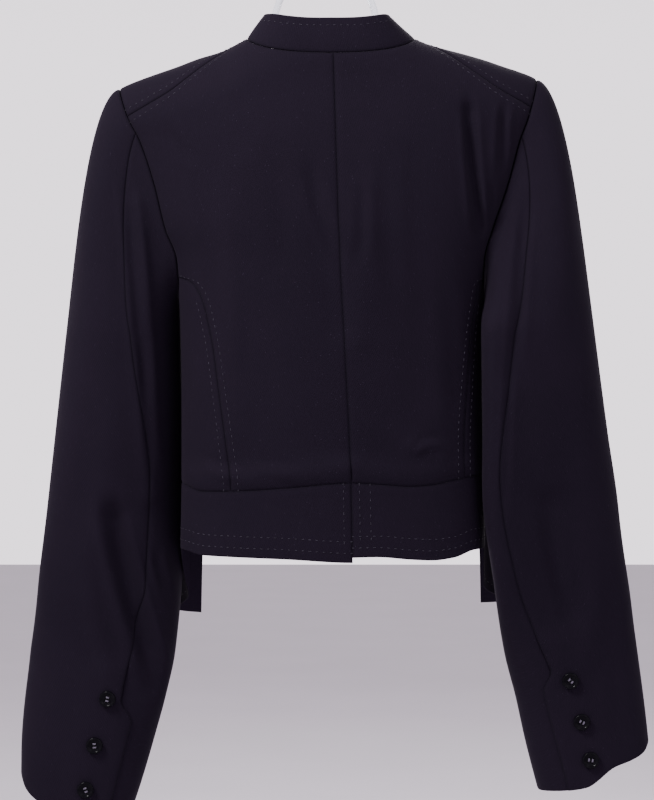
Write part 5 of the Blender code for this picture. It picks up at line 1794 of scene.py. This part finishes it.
def swept(shape: BMesh, line: Sequence[tuple[Vector, float, float]], sides: int, groove: float = 0.0) -> None:
    """Add a bar of oval section along a line in the plane of X and Z.

    Args:
        shape: The shape to add to.
        line: Places along it, each with half the section's width in that plane and half its depth.
        sides: Corners of the section.
        groove: Share by which the section's rim is hollowed.
    """
    rings = []
    for index, (place, rim, depth) in enumerate(line):
        way = (line[min(index + 1, len(line) - 1)][0] - line[max(index - 1, 0)][0]).normalized()
        up = Vector((-way.z, 0, way.x))
        ring = []
        for angle in (math.tau * step / sides for step in range(sides)):
            spot = place + up * rim * (1 - groove * math.cos(angle * 2) ** 8) * math.cos(angle)
            spot.y = depth * math.sin(angle)
            ring.append(shape.verts.new(spot))
        rings.append(ring)
    loft(shape, rings)


@dataclass
class CuffButtons:
    """Three four-hole buttons up each cuff vent, each sewn on with two bars of thread."""

    form: SleeveForm
    finish: Material
    thread: Material
    radius: float = 0.0075
    thickness: float = 0.0032
    seat: float = 0.0006
    hole_radius: float = 0.00090
    hole_spacing: float = 0.0023
    steps: int = 48
    strand: float = 0.00030
    strand_pitch: float = 0.00045
    arch: float = 0.00055
    plunge: float = 0.0008
    well: float = 0.62
    spin: tuple[float, float] = (17, 30)
    crease: float = 40
    places: tuple[Table, Table] = (
        ((-0.569, 101.5), (-0.610, 98.5), (-0.649, 98.5)),
        ((-0.553, 97.0), (-0.591, 94.0), (-0.626, 92.5)),
    )
    outline: Table = (
        (0.00, 0.00), (0.80, 0.00), (0.93, 0.10), (0.99, 0.30), (1.00, 0.52), (0.98, 0.78), (0.93, 0.94),
        (0.86, 1.00), (0.79, 0.97), (0.73, 0.84), (0.68, 0.72), (0.60, 0.66), (0.30, 0.63), (0.00, 0.62),
    )

    def disc(self) -> Mesh:
        """Turned disc pierced by four holes.

        Returns:
            The disc's mesh.
        """
        blank, holes = bmesh.new(), bmesh.new()
        turned(blank, [(radius * self.radius, height * self.thickness) for radius, height in self.outline], self.steps)
        size = {"radius1": self.hole_radius, "radius2": self.hole_radius, "depth": self.thickness * 2}
        for angle in np.radians((45, 135, 225, 315)):
            place = Vector((math.cos(angle), math.sin(angle), 0)) * self.hole_spacing
            place.z = self.thickness / 2
            bmesh.ops.create_cone(holes, cap_ends=True, segments=16, matrix=Matrix.Translation(place), **size)
        disc = bpy.data.objects.new("button_blank", to_mesh(blank, "button_blank"))
        cutter = bpy.data.objects.new("button_cutter", to_mesh(holes, "button_holes"))
        for item in (disc, cutter):
            bpy.context.collection.objects.link(item)
        cut = disc.modifiers.new("holes", "BOOLEAN")
        cut.operation = "DIFFERENCE"
        cut.object = cutter
        bpy.context.view_layer.update()
        pierced = bpy.data.meshes.new_from_object(disc.evaluated_get(bpy.context.evaluated_depsgraph_get()))
        for item in (disc, cutter):
            bpy.data.objects.remove(item)
        return pierced

    def bars(self) -> Mesh:
        """Two bars of thread from hole to hole, each of three strands that arch over the well.

        Returns:
            The thread's mesh.
        """
        shape = bmesh.new()
        reach = self.hole_spacing * math.cos(math.radians(45))
        angles = [math.tau * corner / 6 for corner in range(6)]
        for row, lane in ((row, lane) for row in (-reach, reach) for lane in (-1, 0, 1)):
            rings = []
            for part in (step / 8 for step in range(9)):
                rise = self.arch * math.sin(math.pi * part) ** 0.5 - self.plunge * (abs(part - 0.5) * 2) ** 8
                level = self.thickness * self.well + rise
                middle = Vector((mix(-reach, reach, part), row + lane * self.strand_pitch, level))
                around = (Vector((0, math.cos(angle), math.sin(angle))) for angle in angles)
                rings.append([shape.verts.new(middle + way * self.strand) for way in around])
            loft(shape, rings)
        return to_mesh(shape, "button_bars")

    def seat_of(self, side: Side, height: float, around: float) -> Matrix:
        """Place and turn of a button on the sleeve.

        Args:
            side: Left or right.
            height: Height of the button.
            around: Angle round the sleeve.

        Returns:
            The placing matrix.
        """
        along = self.form.along_of(side, height)

        def place(*spot: float) -> Vector:
            """Point of the lapped cloth at an angle round the sleeve and a place along it."""
            turn, level = map(np.array, spot)
            return Vector(self.form.point(side, turn, level, self.form.lap_lift(side, turn, level)))

        aside = place(around + 1.0, along) - place(around - 1.0, along)
        down = place(around, along + 0.01) - place(around, along - 0.01)
        normal = aside.cross(down).normalized()
        if normal.y > 0:
            normal = -normal
        spot = place(around, along) + normal * self.seat + Vector(DATUM)
        return Matrix.Translation(spot) @ normal.to_track_quat("Z", "Y").to_matrix().to_4x4()

    def build(self) -> None:
        """Set all six buttons and their thread."""
        disc, bars = self.disc(), self.bars()
        for side in Side:
            for number, (height, around) in enumerate(side.pick(self.places), start=1):
                node = f"button_{side.word}_{number}"
                angle = math.radians(self.spin[0] * number + self.spin[1] * side.value)
                seat = self.seat_of(side, height, around) @ Matrix.Rotation(angle, 4, "Z")
                face, sewing = disc.copy(), bars.copy()
                for mesh in (face, sewing):
                    mesh.transform(seat)
                dressed(f"{node}_face", face, self.finish, node, self.crease)
                dressed(f"{node}_thread", sewing, self.thread)


@dataclass
class ClearHanger:
    """Moulded clear hanger with a swivel boss, and its bright wire hook."""

    form: TorsoForm
    plastic: Material
    wire: Material
    arch_half_width: float = 0.0482
    arch_rise: float = 0.0735
    arch_foot: float = 0.020
    arch_rim: float = 0.0033
    arch_depth: float = 0.0050
    arch_end_angle: float = 5.0
    arm_rim: float = 0.0050
    arm_depth: float = 0.0110
    arm_start: float = 0.070
    arm_end: float = 0.166
    arm_clearance: float = 0.0013
    arm_clearance_neck: float = 0.0026
    arm_growth: float = 0.040
    slope_step: float = 0.001
    bend_reach: float = 0.001
    bend_rise: float = 0.35
    tip_length: float = 0.0062
    groove: float = 0.10
    sides: int = 20
    socket_radius: float = 0.0050
    socket_top: float = 0.0060
    socket_steps: int = 32
    hook_wire: float = 0.00175
    hook_radius: float = 0.0180
    hook_join: float = -40.0
    hook_tip: float = 205.0
    hook_bend_start: float = -0.056
    hook_bend_pull: float = 0.010
    hook_sides: int = 14
    crease: float = 50

    def line(self, side: Side) -> list[tuple[Vector, float, float]]:
        """Middle line of half the hanger from its apex.

        Args:
            side: Left or right.

        Returns:
            Places along it, each with half the section's width and half its depth.
        """
        rows, arm = [], []
        for angle in np.radians(np.linspace(90.0, self.arch_end_angle, 33)):
            across, height = self.arch_half_width * math.cos(angle), self.arch_foot + self.arch_rise * math.sin(angle)
            rows.append((Vector((across, 0, height)), self.arch_rim, self.arch_depth))
        for across in np.linspace(self.arm_start, self.arm_end, 25):
            cloth = side.value * across - GARMENT_SHIFT
            ridge, beyond = self.form.ridge(side, np.array((cloth, cloth + self.slope_step))).tolist()
            grown = float(smooth((across - self.arm_start) / self.arm_growth))
            clearance = mix(self.arm_clearance_neck, self.arm_clearance, grown)
            drop = (WALL + clearance + self.arm_rim) * math.hypot(1, (beyond - ridge) / self.slope_step)
            arm.append((Vector((across, 0, ridge - drop)), self.arm_rim, mix(self.arch_depth, self.arm_depth, grown)))
        last, first, tip = rows[-1][0], arm[0][0], arm[-1][0]
        corner = Vector((last.x + self.bend_reach, 0, first.z + (first.x - last.x) * self.bend_rise))
        for part in np.linspace(0, 1, 12)[1:-1]:
            place = last * (1 - part) ** 2 + corner * 2 * part * (1 - part) + first * part**2
            rows.append((place, mix(self.arch_rim, self.arm_rim, part), self.arch_depth))
        way = (tip - arm[-2][0]).normalized()
        for part in np.linspace(0.12, 0.985, 7):
            size = math.sqrt(max(1 - part**2, 0.01))
            arm.append((tip + way * self.tip_length * part, self.arm_rim * size, self.arm_depth * size))
        return [(Vector((side.value * place.x, 0, place.z - GARMENT_DROP)), *size) for place, *size in rows + arm]

    def body(self) -> Mesh:
        """Oval section swept from one arm's tip over the arch to the other's, with a socket on top.

        Returns:
            The hanger's mesh.
        """
        shape = bmesh.new()
        swept(shape, self.line(Side.LEFT)[::-1] + self.line(Side.RIGHT)[1:], self.sides, self.groove)
        apex = self.arch_foot + self.arch_rise + self.arch_rim - GARMENT_DROP
        bottom = -self.arch_rim / self.socket_top
        outline = ((0.0, bottom), (1.0, bottom), (1.0, 0.55), (0.86, 0.62), (0.86, 0.92), (0.74, 1.0), (0.0, 1.0))
        outline = [(radius * self.socket_radius, apex + height * self.socket_top) for radius, height in outline]
        turned(shape, outline, self.socket_steps)
        return to_mesh(shape, "hanger_body")

    def on_ring(self, angle: float) -> Vector:
        """Place on the middle line of the hook's ring."""
        radius = self.hook_radius + self.hook_wire
        return Vector((radius * math.cos(angle), 0, radius * math.sin(angle) - self.hook_radius))

    def hook(self) -> Mesh:
        """Round wire from the socket, bent into an open ring round the rail.

        Returns:
            The hook's mesh.
        """
        foot = Vector((0, 0, self.arch_foot + self.arch_rise + self.arch_rim + self.socket_top - GARMENT_DROP))
        stem, join = Vector((0, 0, self.hook_bend_start)), math.radians(self.hook_join)
        joint = self.on_ring(join)
        pull_a = stem + Vector((0, 0, self.hook_bend_pull))
        pull_b = joint - Vector((-math.sin(join), 0, math.cos(join))) * self.hook_bend_pull
        route = [foot.lerp(stem, part) for part in np.linspace(0, 1, 5)[:-1]]
        for part in np.linspace(0, 1, 19)[:-1]:
            rest = 1 - part
            place = stem * rest**3 + pull_a * 3 * part * rest**2
            route.append(place + pull_b * 3 * part**2 * rest + joint * part**3)
        route += [self.on_ring(angle) for angle in np.radians(np.linspace(self.hook_join, self.hook_tip, 61))]
        line = [(place, self.hook_wire, self.hook_wire) for place in route]
        tip_way = (route[-1] - route[-2]).normalized()
        for part in (0.4, 0.75, 0.96):
            size = self.hook_wire * math.sqrt(1 - part**2)
            line.append((route[-1] + tip_way * self.hook_wire * part, size, size))
        shape = bmesh.new()
        swept(shape, line, self.hook_sides)
        return to_mesh(shape, "hook_wire")

    def build(self) -> None:
        """Make the hanger and the hook."""
        dressed("hanger_body", self.body(), self.plastic, "hanger", self.crease)
        dressed("hook_wire", self.hook(), self.wire, "hook", self.crease)


@dataclass
class Studio:
    """Pale floor, soft lights and the camera at the photograph's angle."""

    camera_place: tuple[float, float, float] = (0.0015, -1.866, -0.482)
    picture_height: float = 0.6992
    picture_distance: float = 1.8
    view_end: float = 50
    floor_height: float = -1.35
    floor_size: float = 9.0
    sky: tuple[float, float, float, float] = (0.16, 0.42, 2.6, 1.0)
    sky_colour: str = "#e6dde6"
    lamps: tuple[tuple[str, Row, Row, float, float, str], ...] = (
        ("key_lamp", (-1.2, -1.0, 1.05), (0.03, 0.0, -0.22), 0.6, 92.0, "#ffffff"),
        ("fill_lamp", (1.7, -2.0, 0.7), (0.0, 0.0, -0.45), 1.4, 26.0, "#f4efff"),
        ("rim_lamp", (0.6, 2.4, 1.4), (0.0, 0.0, -0.45), 1.4, 60.0, "#ffffff"),
    )

    def floor(self) -> None:
        """Large plain floor well below the jacket."""
        mesh = bpy.data.meshes.new("studio_floor")
        size = self.floor_size
        corners = ((-size, -size), (size, -size), (size, size), (-size, size))
        mesh.from_pydata([(x, y, self.floor_height) for x, y in corners], [], [(0, 1, 2, 3)])
        mesh.materials.append(FloorPaint().make())
        floor = bpy.data.objects.new("studio_floor", mesh)
        bpy.context.collection.objects.link(floor)

    def lamp(self, name: str, place: Row, aim: Row, size: float, power: float, colour: str) -> None:
        """One soft square lamp.

        Args:
            name: Its name.
            place: Where it stands.
            aim: What it points at.
            size: Side of its square.
            power: Its power in watts.
            colour: Its sRGB hex colour.
        """
        data = bpy.data.lights.new(name, "AREA")
        data.shape, data.size, data.energy, data.color = "SQUARE", size, power, linear(colour)[:3]
        lamp = bpy.data.objects.new(name, data)
        lamp.location = place
        lamp.rotation_euler = (Vector(aim) - Vector(place)).to_track_quat("-Z", "Y").to_euler()
        bpy.context.collection.objects.link(lamp)

    def room(self) -> None:
        """Pale room round the jacket, brighter below than above."""
        world = bpy.data.worlds.new("pale_room")
        world.use_nodes = True
        tree = world.node_tree
        way = add_node(tree, "ShaderNodeTexCoord").outputs["Generated"]
        rise = add_node(tree, "ShaderNodeSeparateXYZ", {"Vector": way}).outputs["Z"]
        light = {"Color": linear(self.sky_colour), "Strength": spread(tree, rise, self.sky, eased=True)}
        feed(tree, tree.nodes["Background"], light)
        bpy.context.scene.world = world

    def camera(self) -> None:
        """Camera of the photograph."""
        data = bpy.data.cameras.new("photo_camera")
        data.lens = data.sensor_width / 2 / (self.picture_height / 2 / self.picture_distance)
        data.clip_end = self.view_end
        camera = bpy.data.objects.new("photo_camera", data)
        camera.location = self.camera_place
        camera.rotation_euler = (math.radians(90), 0, 0)
        bpy.context.collection.objects.link(camera)
        bpy.context.scene.camera = camera

    def build(self) -> None:
        """Set the stage."""
        self.floor()
        for lamp in self.lamps:
            self.lamp(*lamp)
        self.room()
        self.camera()


def both(*lines: tuple[str, Edge, float, float, float]) -> tuple[tuple[str, Edge, float, float, float], ...]:
    """Lines of stitches for the left side, then for the right one."""
    return tuple((node.format(side.word), *line) for side in Side for node, *line in lines)


def stitch_all(thread: Material, sheets: dict[str, ClothSheet]) -> None:
    """Lay every line of topstitching.

    Each line has its node, the edge that it follows, its distance from that edge, and the shares of it where the
    line starts and ends.

    Args:
        thread: Material of the thread.
        sheets: The cloth sheets by node.
    """
    shoulder = both(("back_{}", Edge.TOP, 0.0065, 0.40, 0.985), ("front_{}", Edge.TOP, 0.0065, 0.03, 0.985))
    princess = both(("back_{}", Edge.LAST, 0.0068, 0.01, 0.46), ("side_back_{}", Edge.FIRST, 0.0068, 0.03, 0.86))
    waistband = both(
        ("waistband_{}", Edge.BOTTOM, 0.0085, 0.01, 0.99),
        ("waistband_{}", Edge.BOTTOM, 0.0185, 0.01, 0.99),
        ("waistband_{}", Edge.FIRST, 0.0070, 0.30, 0.97),
    )
    waistband += (("waistband_right", Edge.FIRST, 0.0165, 0.30, 0.97),)
    front = both(("front_{}", Edge.FIRST, 0.0075, 0.02, 0.70), ("front_{}", Edge.BOTTOM, 0.0075, 0.05, 0.72))
    collar = (("collar", Edge.TOP, 0.0080, 0.02, 0.98),)
    for name, seed, lines in (
        ("shoulder_stitching", 11, shoulder),
        ("princess_stitching", 23, princess),
        ("waistband_stitching", 37, waistband),
        ("front_stitching", 41, front),
        ("collar_stitching", 53, collar),
    ):
        stitching = SaddleStitching(thread, seed)
        for node, *line in lines:
            stitching.add(sheets[node], *line)
        stitching.build(name)


def main() -> None:
    """Build the dressed jacket in order and report each piece."""
    logging.basicConfig(level=logging.INFO, format="%(name)s: %(message)s")
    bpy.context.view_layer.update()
    wool = WoolTwill().make()
    thread = ButtonholeThread().make()
    torso = TorsoForm()
    arms = SleeveForm(torso)
    sheets = {}
    for group in (Bodice(torso), Waistband(torso), StandCollar(torso), Sleeves(arms)):
        for sheet in group.pieces():
            sheet.build(wool)
            sheets[sheet.node] = sheet
    stitch_all(thread, sheets)
    # Button sewing thread: a lighter grey than the topstitching. It is partly the thread's own colour and partly
    # painted highlight, raised to stand in for glints at the holes.
    sewing = ButtonholeThread("waxed_button_thread", "#5c5663", "#3a3542", 0.3).make()
    CuffButtons(arms, PolishedButton().make(), sewing).build()
    ClearHanger(torso, ClearPolystyrene().make(), PlatedWire().make()).build()
    Studio().build()


if __name__ == "__main__":
    main()
